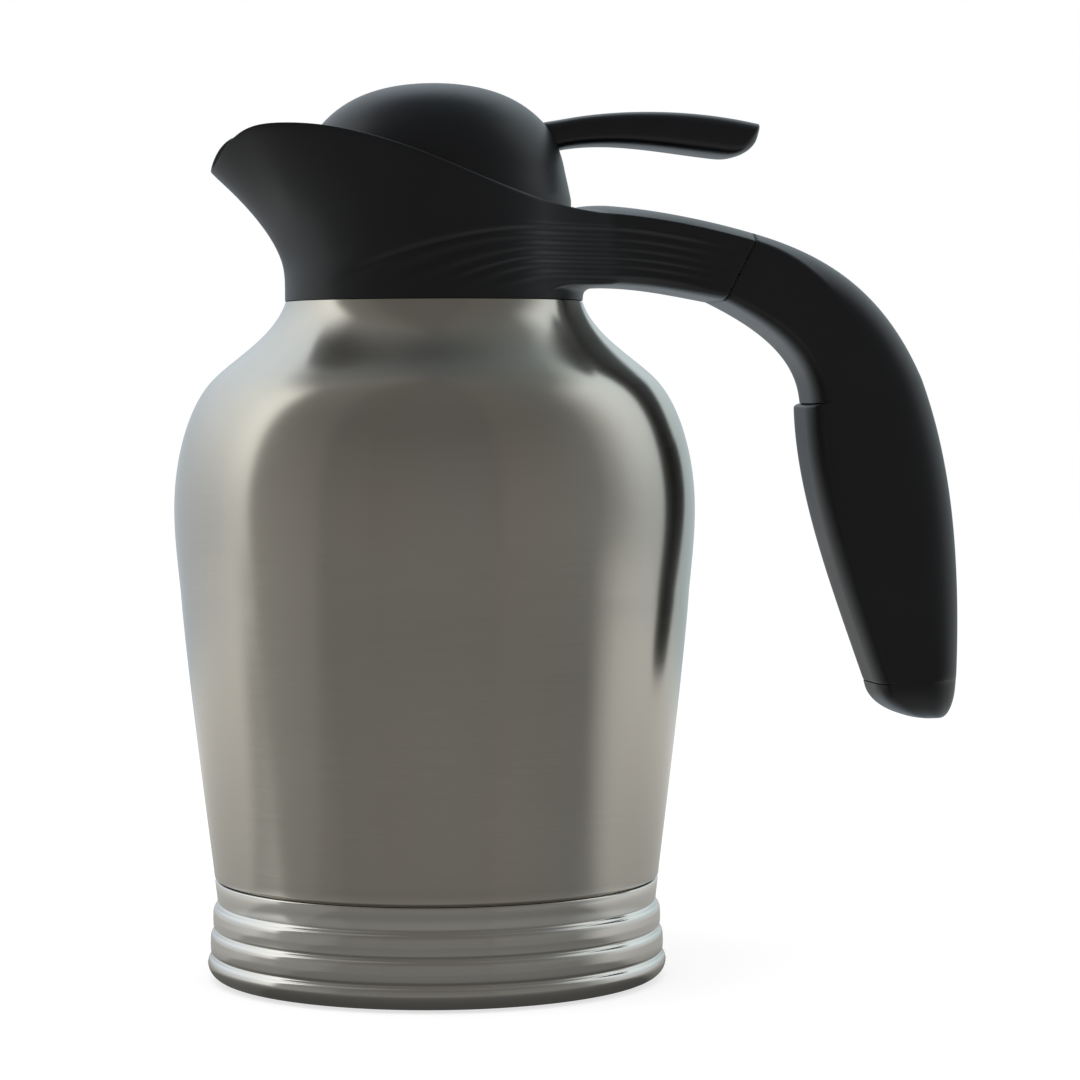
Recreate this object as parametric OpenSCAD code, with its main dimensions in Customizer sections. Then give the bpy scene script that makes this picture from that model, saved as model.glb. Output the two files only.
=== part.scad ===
// Thermal carafe: double-walled steel flask, moulded collar with spout and handle, lift-out stopper,
// and a domed flip lid that a thumb lever opens. Millimetres, +Z up, the handle points to +X and the
// spout to -X. The origin is the centre of the foot, on the table.

/* [Flask] */
// Largest outside diameter of the steel flask
flask_d = 135; // [120:1:165]
// Height of the seam between the flask's shoulder and the collar
flask_h = 175.5; // [150:0.5:212]
// Outside diameter of the shoulder at that seam
neck_d = 76.9; // [74:0.1:94]
// Height of the shoulder, from the widest level up to the seam
shoulder_h = 53.5; // [46:0.5:64]
// Outside diameter of the flask at the seam above the base ring
seat_d = 115.4; // [104:0.1:126]
// Thickness of the outer steel shell
shell_t = 0.8; // [0.6:0.1:1]
// Thickness of the inner steel vessel
liner_t = 0.6; // [0.5:0.1:0.8]
// Distance between the two vessels at the widest level
vacuum_gap = 7.2; // [5:0.1:9]
// Inside diameter of the flask's mouth
mouth_d = 59; // [48:0.5:61]
// How far the mouth stands above the collar's lower edge
mouth_rise = 10.3; // [9:0.1:12]

/* [Base] */
// Height of the ribbed base ring
base_h = 26; // [22:0.5:32]
// Largest diameter of the base ring
base_d = 119.4; // [117:0.1:130]
// Number of ribs round the base ring
rib_count = 3; // [2:1:4]
// Height of one rib
rib_pitch = 6.5; // [5:0.1:7]
// Depth of the grooves between the ribs
groove_t = 0.9; // [0.5:0.1:1.2]
// Radius that rounds the ring's lowest edge
base_round = 4; // [2:0.5:4.5]
// Diameter of the soft foot pad
pad_d = 92; // [80:1:96]
// How far the pad stands below the base ring
pad_proud = 0.5; // [0.3:0.1:1]

/* [Collar and spout] */
// Wall thickness of the collar
collar_t = 2.2; // [1.8:0.1:2.6]
// How far the spout's tip reaches beyond the collar's lower edge
spout_reach = 19.6; // [14:0.2:24]
// Radius of the spout's nose seen from above
nose_r = 22.2; // [16:0.2:26]
// Height of the spout's tip above the collar's lower edge
tip_rise = 33.1; // [28:0.1:38]
// Height of the spout's raised sides above the collar's lower edge
crest_rise = 44.3; // [40:0.1:48]
// Height of the rim at the handle side above the collar's lower edge
deck_rise = 23.5; // [22:0.1:25]
// Depth of the flutes on the collar and the arm
flute_t = 0.45; // [0.2:0.05:0.6]

/* [Handle] */
// Gap for the fingers between the flask's widest level and the grip
finger_gap = 30.5; // [26:0.5:38]
// Depth of the grip, from its finger side to its back
grip_deep = 43; // [36:0.5:46]
// Width of the grip across the carafe
grip_w = 27; // [24:0.5:32]
// How far the handle's end hangs below the collar's lower edge
handle_drop = 111; // [96:0.5:120]
// Thickness of the cover on the grip's finger side
insert_t = 4; // [3:0.1:5]

/* [Lid and lever] */
// Height of the dome's top above the collar's lower edge
dome_rise = 56.1; // [52:0.1:62]
// Wall thickness of the dome
dome_t = 2; // [1.6:0.1:2.4]
// Width of the thumb lever at its tip
lever_w = 21; // [16:0.5:26]
// How far the lever's tip stops short of the grip's finger side
lever_short = 12.5; // [10:0.5:24]
// How far the edge of the stopper's pour hole stands inside the edge of the mouth
pour_inset = 7.5; // [7:0.1:11]

/* [Hinge] */
// Diameter of the hinge pin
pin_d = 2.5; // [2:0.1:3]
// Radial clearance of the hinge pin in the lid's lugs
pin_play = 0.06; // [0.03:0.01:0.1]
// Radius of the hinge knuckles
knuckle_r = 2.8; // [2.6:0.1:3.2]
// Wire diameter of the closing spring
wire_d = 0.8; // [0.6:0.1:0.9]

/* [Hidden] */
$fn = 96;
eps = 0.01;

// Clearances: between parts that are fixed together, and between parts that move apart
seat = 0.05;
gap = 0.3;

// Radii of the neck, from the inside out
mouth_r = mouth_d / 2;
neck_in_r = mouth_r + liner_t + 1.5;
neck_out_r = neck_in_r + shell_t;
collar_r = neck_d / 2 + 0.15;
bore_r = collar_r - collar_t;
dome_r = bore_r - 0.8;
pour_r = mouth_r - pour_inset;

// Heights of the neck, from the seam up
collar_z = flask_h + 0.2;
mouth_z = collar_z + mouth_rise;
ledge_z = mouth_z + 1;
ledge_top = ledge_z + 2.2;
flange_top = ledge_top + 2.2;
plug_z = flange_top + 2.2;
dome_z = flange_top + 3.1;
dome_top = collar_z + dome_rise;

// Hinge axis
hinge_x = dome_r - 7.1;
hinge_z = flange_top + 8.1;

// Finger side of the grip
grip_x = flask_d / 2 + finger_gap;

STEEL = [0.62, 0.61, 0.58];
BRIGHT = [0.74, 0.75, 0.76];
BLACK = [0.07, 0.075, 0.085];
SOFT = [0.1, 0.1, 0.11];
SEAL = [0.55, 0.56, 0.58];
FOAM = [0.9, 0.88, 0.8];

// Point on a cubic curve, and n + 1 points along it
function bez_at(p, t) =
    let (u = 1 - t)
    u * u * u * p[0] + 3 * u * u * t * p[1] + 3 * u * t * t * p[2] + t * t * t * p[3];
function bez(p, n, first = 0) = [for (i = [first : n]) bez_at(p, i / n)];

function flip(p) = [for (i = [len(p) - 1 : -1 : 0]) p[i]];
function unit(v) = v / norm(v);
function left_of(a, b) = let (d = unit(b - a)) [-d[1], d[0]];
function clamp(v, low, high) = max(low, min(high, v));
function smooth(v) = let (c = clamp(v, 0, 1)) c * c * (3 - 2 * c);

// Open outline moved sideways by d, to the left of its direction
function inset(p, d) =
    [for (i = [0 : len(p) - 1])
        let (n1 = left_of(p[max(i - 1, 0)], p[max(i, 1)]))
        let (n2 = left_of(p[min(i, len(p) - 2)], p[min(i + 1, len(p) - 1)]))
        let (n = unit(n1 + n2))
        let (q = p[i] + n * d / (n * n1))
        [max(q[0], 0), q[1]]];

// Wall of thickness t that follows an open outline, turned round the axis
module turned_wall(p, t) {
    rotate_extrude() polygon(concat(p, flip(inset(p, t))));
}

// Ring between two radii and two heights
module ring(r_in, r_out, z_low, z_high) {
    rotate_extrude() translate([r_in, z_low]) square([r_out - r_in, z_high - z_low]);
}

// Closed solid through rings of points, each ring in the same order, with flat ends
module loft(rings) {
    n = len(rings[0]);
    m = len(rings);
    sides = [for (i = [0 : m - 2], j = [0 : n - 1], k = [0 : 1])
        let (a = i * n + j)
        let (b = i * n + (j + 1) % n)
        k == 0 ? [a, b, b + n] : [a, b + n, a + n]];
    ends = [[for (j = [n - 1 : -1 : 0]) j], [for (j = [0 : n - 1]) (m - 1) * n + j]];
    polyhedron([for (r = rings) each r], concat(sides, ends), convexity = 10);
}

// Small screw pointing along +Z from the underside of its head
module screw(r, len_mm, head_r, head_h) {
    translate([0, 0, -head_h * 0.3]) cylinder(r = r, h = len_mm + head_h * 0.3, $fn = 24);
    translate([0, 0, -head_h]) difference() {
        cylinder(r = head_r, h = head_h, $fn = 32);
        for (a = [0, 90]) rotate(a) translate([-head_r * 0.6, -0.25, -eps])
            cube([head_r * 1.2, 0.5, head_h * 0.5]);
    }
}

// Flask
// Outline of the outer shell from its skirt inside the base ring to the mouth
skirt_r = seat_d / 2 - 2.4;
widest_z = flask_h - shoulder_h;
mid_r = neck_d / 2 + (flask_d - neck_d) / 2 * 0.66;
function shell_outline() = concat(
    [[skirt_r, 10], [skirt_r, base_h + 0.3]],
    bez([[seat_d / 2, base_h + 0.3], [seat_d / 2 + 1.9, base_h + 16],
         [flask_d / 2 - 2.7, widest_z - 39], [flask_d / 2 - 1.5, widest_z - 21]], 5),
    bez([[flask_d / 2 - 1.5, widest_z - 21], [flask_d / 2 - 0.6, widest_z - 12],
         [flask_d / 2, widest_z - 7], [flask_d / 2, widest_z]], 5, 1),
    bez([[flask_d / 2, widest_z], [flask_d / 2, widest_z + 12],
         [mid_r + 6.6, flask_h - 27.5], [mid_r, flask_h - 20.4]], 9, 1),
    bez([[mid_r, flask_h - 20.4], [mid_r - 5, flask_h - 14.9],
         [neck_d / 2 + 3, flask_h - 9.2], [neck_d / 2, flask_h]], 9, 1),
    bez([[neck_out_r + 3, flask_h + 0.05], [neck_out_r + 1, flask_h + 0.1],
         [neck_out_r, flask_h + 1], [neck_out_r, flask_h + 3]], 4),
    [[neck_out_r, mouth_z - liner_t]]);

module outer_shell() {
    color(STEEL) turned_wall(shell_outline(), shell_t);
}

// Outline of the inner vessel's outer side, from the middle of its floor to the mouth
liner_r = flask_d / 2 - vacuum_gap - shell_t;
floor_z = base_h - 3;
function liner_outline() = concat(
    [[0, floor_z], [seat_d / 2 - 24, floor_z]],
    bez([[seat_d / 2 - 24, floor_z], [seat_d / 2 - 14, floor_z], [seat_d / 2 - 8, floor_z + 5],
         [seat_d / 2 - 7, floor_z + 16]], 6, 1),
    bez([[liner_r - 1.4, widest_z - 21], [liner_r - 0.5, widest_z - 12], [liner_r, widest_z - 7],
         [liner_r, widest_z - 2]], 4),
    bez([[liner_r, widest_z - 2], [liner_r, widest_z + 12], [mid_r - 1, flask_h - 32],
         [mid_r - 7.5, flask_h - 24]], 7, 1),
    bez([[mid_r - 7.5, flask_h - 24], [mid_r - 13, flask_h - 17.5],
         [mouth_r + liner_t, flask_h - 15], [mouth_r + liner_t, flask_h - 1]], 8, 1),
    [[mouth_r + liner_t, mouth_z - liner_t]]);

module inner_liner() {
    color(BRIGHT) {
        turned_wall(liner_outline(), liner_t);
        ring(mouth_r, neck_out_r, mouth_z - liner_t, mouth_z);
    }
}

// Dished plate that closes the outer shell under the vacuum
module shell_bottom() {
    r = skirt_r - shell_t - seat;
    color(BRIGHT) difference() {
        turned_wall([[8, 14], [r - 9, 14], [r - 3, 12.4], [r - shell_t, 12.4], [r - shell_t, 10]],
                    -shell_t);
        translate([0, 0, 5]) cylinder(r = 8, h = 20);
    }
    color(BRIGHT) ring(1.2, 8.5, 14, 14 + shell_t);
}

// Cap over the hole through which the space between the vessels is emptied
module vacuum_seal() {
    color(SEAL) {
        translate([0, 0, 12.4]) cylinder(r = 5, h = 1.6);
        translate([0, 0, 13.5]) cylinder(r = 1.15, h = 2);
    }
}

// Base
// Outline of the ring's outer side: a plain band, the ribs, and the rounded lowest edge
foot_r = base_d / 2;
band_r = seat_d / 2 - 0.7;
rib_top = rib_count * rib_pitch;
function rib_peak(i) = foot_r - i * (foot_r - band_r - 0.6) / rib_count;
function rib_outline(i) =
    let (top = rib_top - (rib_count - 1 - i) * rib_pitch)
    let (r = rib_peak(i))
    [[r - groove_t, top], [r - 0.35, top - 0.9], [r - 0.12, top - 2.3], [r, top - 3.6],
     [r - 0.12, top - rib_pitch + 1.1]];
function base_outline() = concat(
    [[seat_d / 2 - 0.3, base_h], [seat_d / 2, base_h - 0.3], [band_r, rib_top + 0.5]],
    [for (i = [rib_count - 1 : -1 : 1]) each rib_outline(i)],
    [for (p = rib_outline(0)) if (p[1] > base_round) p],
    [for (a = [0 : 15 : 90])
        [foot_r - base_round * (1 - cos(a)), pad_proud + base_round * (1 - sin(a))]]);

module base_ring() {
    inner_r = skirt_r + seat;
    color(BRIGHT) rotate_extrude() polygon(concat(base_outline(),
        [[pad_d / 2 + 2, pad_proud], [pad_d / 2 + 2, pad_proud + 1.2], [foot_r - 5.5, pad_proud + 1.2],
         [inner_r, 6], [inner_r, base_h]]));
}

// Plate inside the ring that carries the pad
plate_z = pad_proud + 1.2;
module base_plate() {
    color(SOFT) difference() {
        union() {
            translate([0, 0, plate_z]) cylinder(r = foot_r - 6.5, h = 2);
            for (r = [18, 34]) ring(r, r + 1.6, plate_z + 1, 9.5);
            for (a = [0 : 60 : 300]) rotate(a) translate([18.8, -0.8, plate_z + 1])
                cube([foot_r - 28, 1.6, 5]);
        }
        translate([0, 0, -eps]) cylinder(r = pad_d / 2 - 1.4, h = plate_z + 0.6);
    }
}

module foot_pad() {
    color(SOFT) {
        cylinder(r = pad_d / 2, h = plate_z);
        cylinder(r = pad_d / 2 - 1.5, h = plate_z + 0.55);
    }
}

// Neck
// Ring clamped round the steel neck, which the collar is screwed to
module neck_ring() {
    color(BLACK) difference() {
        rotate_extrude() polygon([[neck_out_r + seat, collar_z + 5], [neck_out_r + 1.6, collar_z + 3],
            [bore_r - 0.4, collar_z + 3], [bore_r - 0.12, collar_z + 4], [bore_r - 0.12, mouth_z],
            [neck_out_r + seat, mouth_z]]);
        collar_screw_places() translate([0, 0, -6]) cylinder(r = 0.95, h = 12, $fn = 24);
    }
}

module collar_gasket() {
    color(SEAL) ring(mouth_r + 0.9, neck_out_r - 0.1, mouth_z, ledge_z);
}

collar_screw_r = (neck_out_r + bore_r) / 2 + 0.1;
module collar_screw_places() {
    for (a = [45 : 90 : 315]) rotate(a) translate([collar_screw_r, 0, ledge_z]) children();
}

module collar_screws() {
    color(BRIGHT) collar_screw_places() translate([0, 0, 1.1]) mirror([0, 0, 1]) screw(0.9, 6.6, 1.7, 1);
}

// Collar, spout and arm
// Plan of the rim: the collar's circle and the spout's nose circle with the tangents between them.
// a is the azimuth from the spout, 0 at its tip and 180 at the handle.
rim_r = collar_r - 0.3;
nose_x = collar_r + spout_reach - nose_r;
nose_turn = asin((rim_r - nose_r) / nose_x);
nose_end = atan2(nose_r * cos(nose_turn), nose_x + nose_r * sin(nose_turn));
function rim_reach(a) =
    a > 90 - nose_turn ? rim_r
    : a > nose_end ? rim_r / sin(a + nose_turn)
    : nose_x * cos(a) + sqrt(nose_r * nose_r - pow(nose_x * sin(a), 2));

// Height of the rim: an S-curve from the deck to the crest, then a round dip across the spout's tip
tip_x = -(collar_r + spout_reach);
crest_x = tip_x + 15.2;
crest_y = sqrt(nose_r * nose_r - pow(nose_x + crest_x, 2));
function rise_between(low, high, share) = low + (high - low) * (1 - cos(180 * share)) / 2;
function rim_height(x, y) = collar_z + (x > crest_x
    ? rise_between(deck_rise, crest_rise, (collar_r - x) / (collar_r - crest_x))
    : rise_between(tip_rise, crest_rise, abs(y) / crest_y));

// Flutes: crest and groove heights at the handle, and the azimuth where each meets the lower edge.
// Odd places are crests and even ones grooves.
flute_z = [5.2, 6.4, 7.7, 9, 10, 11, 12.2, 13.5, 14.7, 15.9, 17.2, 18.5];
flute_a = [96, 92, 86, 83, 77, 74, 68, 61, 52, 43, 35, 28];
flute_span = [40, 42, 44, 46, 50, 54, 60, 66, 72, 75, 88, 100];
function flute_rise(k, a) =
    let (low = 0.3 * (k + 1))
    low + (flute_z[k] - low) * sin(90 * clamp((a - flute_a[k]) / flute_span[k], 0, 1));
function flute_cut(k) = k % 2 == 1 ? 0 : flute_t;
function flute_depth(k, a) = flute_cut(k) * smooth((a - flute_a[k] - 4) / 24);

// Radius of the collar's outer and inner side at azimuth a and height z
function flare(t) = pow(max(0, (t - 0.2) / 0.8), 1.6);
function outer_r(a, z, rim_z) =
    collar_r + (rim_reach(a) - collar_r) * flare((z - collar_z) / (rim_z - collar_z));
function inner_r(a, z, rim_z) =
    bore_r + (rim_reach(a) - 1.5 - bore_r) * flare((z - collar_z) / (rim_z - collar_z));

// Where the collar widens into the arm: b is the azimuth from the handle. Past edge_b the surface goes
// on as the arm, whose first section stands at arm_x.
arm_x = collar_r + 5.4;
edge_b = 23.4;
spread_b = 54;
arm_w = arm_x * tan(edge_b);
arm_crown = 3.1;
arm_top_rise = 24.95;
arm_low_rise = 3.7;
function spread(b) = pow(clamp((spread_b - b) / (spread_b - edge_b), 0, 1), 2.2);
function spread_r(b) = spread(b) * (arm_x / cos(edge_b) - collar_r);
function edge_height(x, y) = rim_height(min(x, collar_r), y)
    - (deck_rise + arm_crown - arm_top_rise) * smooth((x - arm_x + 18) / 18);
function deck_height(b, edge) = edge + (arm_top_rise + 0.7 - deck_rise + 0.3) * smooth((50 - b) / 44);

// Rows of a column: lower edge, lip under the arm, flutes, upper wall, rim, inner wall
LIP_Z = [2.7, 3.5, 3.75, 4.3];
LIP_R = [0, 0.55, 0.92, 0.98];
UPPER = 7;
ROW_LOW = 3;
ROW_EDGE = 4 + 12 + UPPER;
INNER = 6;
function polar_point(a, side, r, z) = [-r * cos(a), side * r * sin(a), z];
function rim_rows(a, side, r, edge, g) =
    let (b = 180 - a)
    let (deck = deck_height(b, edge))
    let (r_in = inner_r(a, edge, edge))
    [polar_point(a, side, (1 - g) * (r - 0.5) + g * (r + r_in) / 2,
                 edge + g * (0.7 * (deck - edge) + 0.3)),
     polar_point(a, side, r_in + 0.4, (1 - g) * edge + g * deck),
     each [for (i = [INNER : -1 : 0])
         let (z = ledge_top + ((1 - g) * edge + g * deck - 0.4 - ledge_top) * i / INNER)
         polar_point(a, side, inner_r(a, z, edge), z)],
     polar_point(a, side, bore_r, collar_z)];
function column(a, side) =
    let (b = 180 - a)
    let (wide = spread_r(b))
    let (g = smooth(spread(b) * 1.6))
    let (reach = rim_reach(a) + wide)
    let (edge = edge_height(-reach * cos(a), reach * sin(a)))
    let (lip = [for (k = [0 : 3])
        polar_point(a, side, collar_r + LIP_R[k] * wide,
                    collar_z + 0.06 * (k + 1) + (LIP_Z[k] - 0.06 * (k + 1)) * smooth((62 - b) / 24))])
    let (flutes = [for (k = [0 : 11])
        let (z = collar_z + flute_rise(k, a))
        polar_point(a, side, outer_r(a, z, edge) + wide - flute_depth(k, a), z)])
    let (first = collar_z + flute_rise(11, a))
    let (upper = [for (i = [1 : UPPER])
        let (z = first + (edge - 0.45 * (1 - g) - first) * i / UPPER)
        polar_point(a, side, outer_r(a, z, edge) + wide, z)])
    concat([polar_point(a, side, collar_r, collar_z)], lip, flutes, upper,
           rim_rows(a, side, outer_r(a, edge, edge) + wide, edge, g));

// Columns behind the arm's root have only a lower edge, a lip and a deck: the rest is the arm
function root_column(b) =
    let (r = arm_x / cos(b))
    let (top = collar_z + arm_top_rise - arm_crown * pow(tan(b) / tan(edge_b), 2))
    let (low = collar_z + arm_low_rise)
    let (edge = collar_z + arm_top_rise - arm_crown)
    concat([polar_point(180 - b, -1, collar_r, collar_z),
            polar_point(180 - b, -1, collar_r, collar_z + LIP_Z[0]),
            polar_point(180 - b, -1, (collar_r + r) / 2, collar_z + LIP_Z[1])],
           [polar_point(180 - b, -1, r, low)],
           [for (k = [ROW_LOW + 1 : ROW_EDGE - 1]) polar_point(180 - b, -1, r, low + k / 10)],
           [polar_point(180 - b, -1, r, top)],
           let (deck = deck_height(abs(b), edge))
           [polar_point(180 - b, -1, (r + bore_r) / 2, (top + deck) / 2 + 0.2),
            polar_point(180 - b, -1, bore_r + 0.4, deck),
            each [for (i = [INNER : -1 : 0])
                polar_point(180 - b, -1, bore_r, ledge_top + (deck - 0.4 - ledge_top) * i / INNER)],
            polar_point(180 - b, -1, bore_r, collar_z)]);

// Azimuths of the columns, closer together round the spout's nose
COLS = 36;
ROOT_B = [18.5, 12.5, 6.5, 0, -6.5, -12.5, -18.5];
function col_a(i) = (180 - edge_b) * pow(i / COLS, 1.12);
function collar_columns() = concat(
    [for (i = [0 : COLS]) column(col_a(i), -1)],
    [for (b = ROOT_B) root_column(b)],
    [for (i = [COLS : -1 : 1]) column(col_a(i), 1)]);

// Handle: top and underside in the plane of symmetry, in three stretches and a rounded end
part_x = grip_x - 23.5;
back_x = grip_x + grip_deep;
end_z = collar_z - handle_drop;
function z_of(rise) = collar_z + rise;
ARM_TOP = [[arm_x, z_of(arm_top_rise)], [arm_x + 11, z_of(24.5)], [part_x - 4, z_of(21.9)],
           [part_x + 9.5, z_of(18.1)]];
ARM_LOW = [[arm_x, z_of(arm_low_rise)], [arm_x + 10, z_of(3.9)], [part_x - 12, z_of(2.2)],
           [part_x, z_of(-0.1)]];
BEND_TOP = [[part_x + 9.5, z_of(18.1)], [part_x + 27, z_of(13.3)], [back_x - 21.5, z_of(5.3)],
            [back_x - 10.2, z_of(-20.2)]];
BEND_LOW = [[part_x, z_of(-0.1)], [part_x + 11.5, z_of(-5.7)], [grip_x + 0.6, z_of(-13.8)],
            [grip_x + 1.5, z_of(-26.9)]];
GRIP_TOP = [[back_x - 10.2, z_of(-20.2)], [back_x - 2, z_of(-41.7)], [back_x + 1.1, end_z + 43.3],
            [back_x - 0.6, end_z + 10.8]];
GRIP_LOW = [[grip_x - 0.1, z_of(-27.2)], [grip_x + 0.3, z_of(-50.7)], [grip_x + 10, end_z + 35.3],
            [grip_x + 19, end_z + 9.8]];
ARM_W = [arm_w, arm_w - 4.4, grip_w / 2 + 0.7, grip_w / 2 + 0.3];

// A station of the handle is its top, its underside and its half width. Places in a section are
// [half width, depth below the top].
function arm_station(t) = [bez_at(ARM_TOP, t), bez_at(ARM_LOW, t), bez_at(ARM_W, t)];
function in_station(s, y, d) = let (p = s[0] + unit(s[1] - s[0]) * d) [p[0], y, p[1]];

// Section of the arm: side rows from the lip to the crisp upper edge, then the crown between them
function arm_side(s, fade) =
    let (deep = norm(s[0] - s[1]))
    let (w = s[2])
    let (share = (deep - flute_z[0] + arm_low_rise - arm_crown) / (arm_top_rise - arm_crown - flute_z[0]))
    let (row = function(z) arm_crown + (arm_top_rise - arm_crown - z) * share)
    concat([[w - 2.6, deep - 0.15], [w - 1, deep - 0.75]],
           [for (k = [0 : 11]) [w - flute_cut(k) * fade, row(flute_z[k])]],
           [for (i = [1 : UPPER])
               [w, row(flute_z[11] + (arm_top_rise - arm_crown - flute_z[11]) * i / UPPER)]]);
function arm_ring(s, fade) =
    let (side = arm_side(s, fade))
    let (deep = norm(s[0] - s[1]))
    let (share = [for (b = ROOT_B) tan(b) / tan(edge_b)])
    concat([for (p = side) in_station(s, -p[0], p[1])],
           [for (y = share) in_station(s, -s[2] * y, arm_crown * y * y)],
           [for (p = flip(side)) in_station(s, p[0], p[1])],
           [for (y = flip(share)) in_station(s, -(s[2] - 2.6) * y, deep)]);

// Collar and arm in one skin: the arm's first section is the edge of the opening left in the columns
ARM_STEPS = 10;
module collar_and_arm() {
    cols = collar_columns();
    n = len(cols[0]);
    m = len(cols);
    i1 = COLS;
    i2 = COLS + len(ROOT_B) + 1;
    walls = [for (i = [0 : m - 1], j = [0 : n - 1], k = [0 : 1])
        let (a = i * n + j)
        let (b = i * n + (j + 1) % n)
        let (c = ((i + 1) % m) * n + j)
        let (d = ((i + 1) % m) * n + (j + 1) % n)
        if (i < i1 || i >= i2 || j < ROW_LOW || j >= ROW_EDGE) k == 0 ? [a, b, d] : [a, d, c]];
    hole = concat([for (j = [ROW_LOW : ROW_EDGE]) i1 * n + j],
                  [for (i = [i1 + 1 : i2 - 1]) i * n + ROW_EDGE],
                  [for (j = [ROW_EDGE : -1 : ROW_LOW]) i2 * n + j],
                  [for (i = [i2 - 1 : -1 : i1 + 1]) i * n + ROW_LOW]);
    q = len(hole);
    rings = [for (i = [1 : ARM_STEPS])
        arm_ring(arm_station(i / ARM_STEPS), smooth((1 - i / ARM_STEPS) * 2.2))];
    place = concat(hole, [for (i = [0 : q * ARM_STEPS - 1]) m * n + i]);
    arm = [for (i = [0 : ARM_STEPS - 1], j = [0 : q - 1], k = [0 : 1])
        let (a = place[i * q + j])
        let (b = place[i * q + (j + 1) % q])
        let (c = place[(i + 1) * q + j])
        let (d = place[(i + 1) * q + (j + 1) % q])
        k == 0 ? [a, b, d] : [a, d, c]];
    end = [for (j = [0 : q - 1]) place[ARM_STEPS * q + j]];
    polyhedron([each [for (c = cols) each c], each [for (r = rings) each r]],
               concat(walls, arm, [end]), convexity = 12);
}

// Stations of the grip: the fourth value is how far the section has turned from the arm's crowned box
// into the grip's rounded back, and the last how deep its front edges are rounded. cut is how much of
// the finger side is left for the cover, which carries the rounding there.
front_round = insert_t - 0.1;
function bend_station(t) =
    [bez_at(BEND_TOP, t), bez_at(BEND_LOW, t), grip_w / 2 + 0.45 * (1 - t), smooth(t * 1.2), front_round];
function grip_station(t, cut) =
    let (o = bez_at(GRIP_TOP, t))
    let (i = bez_at(GRIP_LOW, t))
    [o, i + unit(o - i) * cut, grip_w / 2 - t * t, 1, cut > 0 ? 0.12 : front_round];
function round_w(s) = min(s[4] * 2, s[2] * 0.6);
function end_station(a) =
    let (o = GRIP_TOP[3] + [-4 * (1 - cos(a)), -10.6 * sin(a)])
    let (i = GRIP_LOW[3] + [15 * (1 - cos(a)), -9.8 * sin(a)])
    [o, i, (grip_w / 2 - 1) * cos(a * 0.72), 1, min(front_round, norm(o - i) * 0.25)];

// Stretch of the grip that the cover takes
function cover_t(share) = 0.006 + 0.994 * share;

// Half section of the grip: back, side, front edge
function grip_half(s) =
    let (deep = norm(s[0] - s[1]))
    let (w = s[2])
    let (b = s[3])
    let (crown = min(arm_crown, deep * 0.3))
    let (back = min(13, deep * 0.45))
    let (edge = s[4])
    concat([for (a = [0, 18, 36, 54, 72, 90])
               (1 - b) * [w * a / 90, crown * pow(a / 90, 2)] + b * [w * sin(a), back * (1 - cos(a))]],
           [for (k = [0.25, 0.5, 0.75, 1])
               (1 - b) * [w, crown + (deep - 2.6 - crown) * k]
                   + b * [w * (1 - 0.08 * k), back + (deep - edge - back) * k]],
           [for (a = [18, 36, 54, 72, 90])
               (1 - b) * [w - 5 * (1 - cos(a)), deep - 2.6 * (1 - sin(a))]
                   + b * [w * 0.92 - round_w(s) * (1 - cos(a)), deep - edge * (1 - sin(a))]]);
function grip_ring(s) =
    let (half = grip_half(s))
    concat([for (p = half) in_station(s, -p[0], p[1])],
           [for (i = [len(half) - 1 : -1 : 1]) in_station(s, half[i][0], half[i][1])]);

// Tongue of the arm inside the grip
module arm_tongue(grow) {
    a = atan2(ARM_TOP[3][0] - ARM_LOW[3][0], ARM_TOP[3][1] - ARM_LOW[3][1]);
    mid = (ARM_TOP[3] + ARM_LOW[3]) / 2;
    translate([mid[0], 0, mid[1]]) rotate([0, a, 0])
        translate([-6, -7 - grow, -5.5 - grow]) cube([21 + grow, 14 + 2 * grow, 11 + 2 * grow]);
}

// The two screws that hold the grip on the tongue, from below
module handle_screw_places() {
    a = atan2(ARM_TOP[3][0] - ARM_LOW[3][0], ARM_TOP[3][1] - ARM_LOW[3][1]);
    mid = (ARM_TOP[3] + ARM_LOW[3]) / 2;
    for (x = [4, 11]) translate([mid[0], 0, mid[1]]) rotate([0, a, 0]) translate([x, 0, -8]) children();
}

module collar_spout() {
    color(BLACK) difference() {
        union() {
            collar_and_arm();
            arm_tongue(0);
            difference() {
                ring(mouth_r + 0.6, bore_r + 1, ledge_z, ledge_top);
                collar_screw_places() translate([0, 0, -1]) cylinder(r = 1, h = 6, $fn = 24);
                collar_screw_places() translate([0, 0, 1]) cylinder(r = 1.9, h = 6, $fn = 32);
            }
        }
        handle_screw_places() cylinder(r = 1.1, h = 9, $fn = 24);
    }
}

module handle_grip() {
    color(BLACK) difference() {
        loft(concat(
            [for (i = [0 : 10]) grip_ring(bend_station(i / 10))],
            [for (i = [0 : 10]) grip_ring(grip_station(cover_t(i / 10), insert_t))],
            [for (a = [1, 18, 36, 54, 72, 90]) grip_ring(end_station(a))]));
        arm_tongue(seat);
        handle_screw_places() translate([0, 0, -9]) cylinder(r = 2.3, h = 10, $fn = 32);
        handle_screw_places() cylinder(r = 1.2, h = 6, $fn = 24);
    }
}

module handle_screws() {
    color(BRIGHT) handle_screw_places() translate([0, 0, 1]) screw(1.05, 7, 2.1, 1.4);
}

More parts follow.
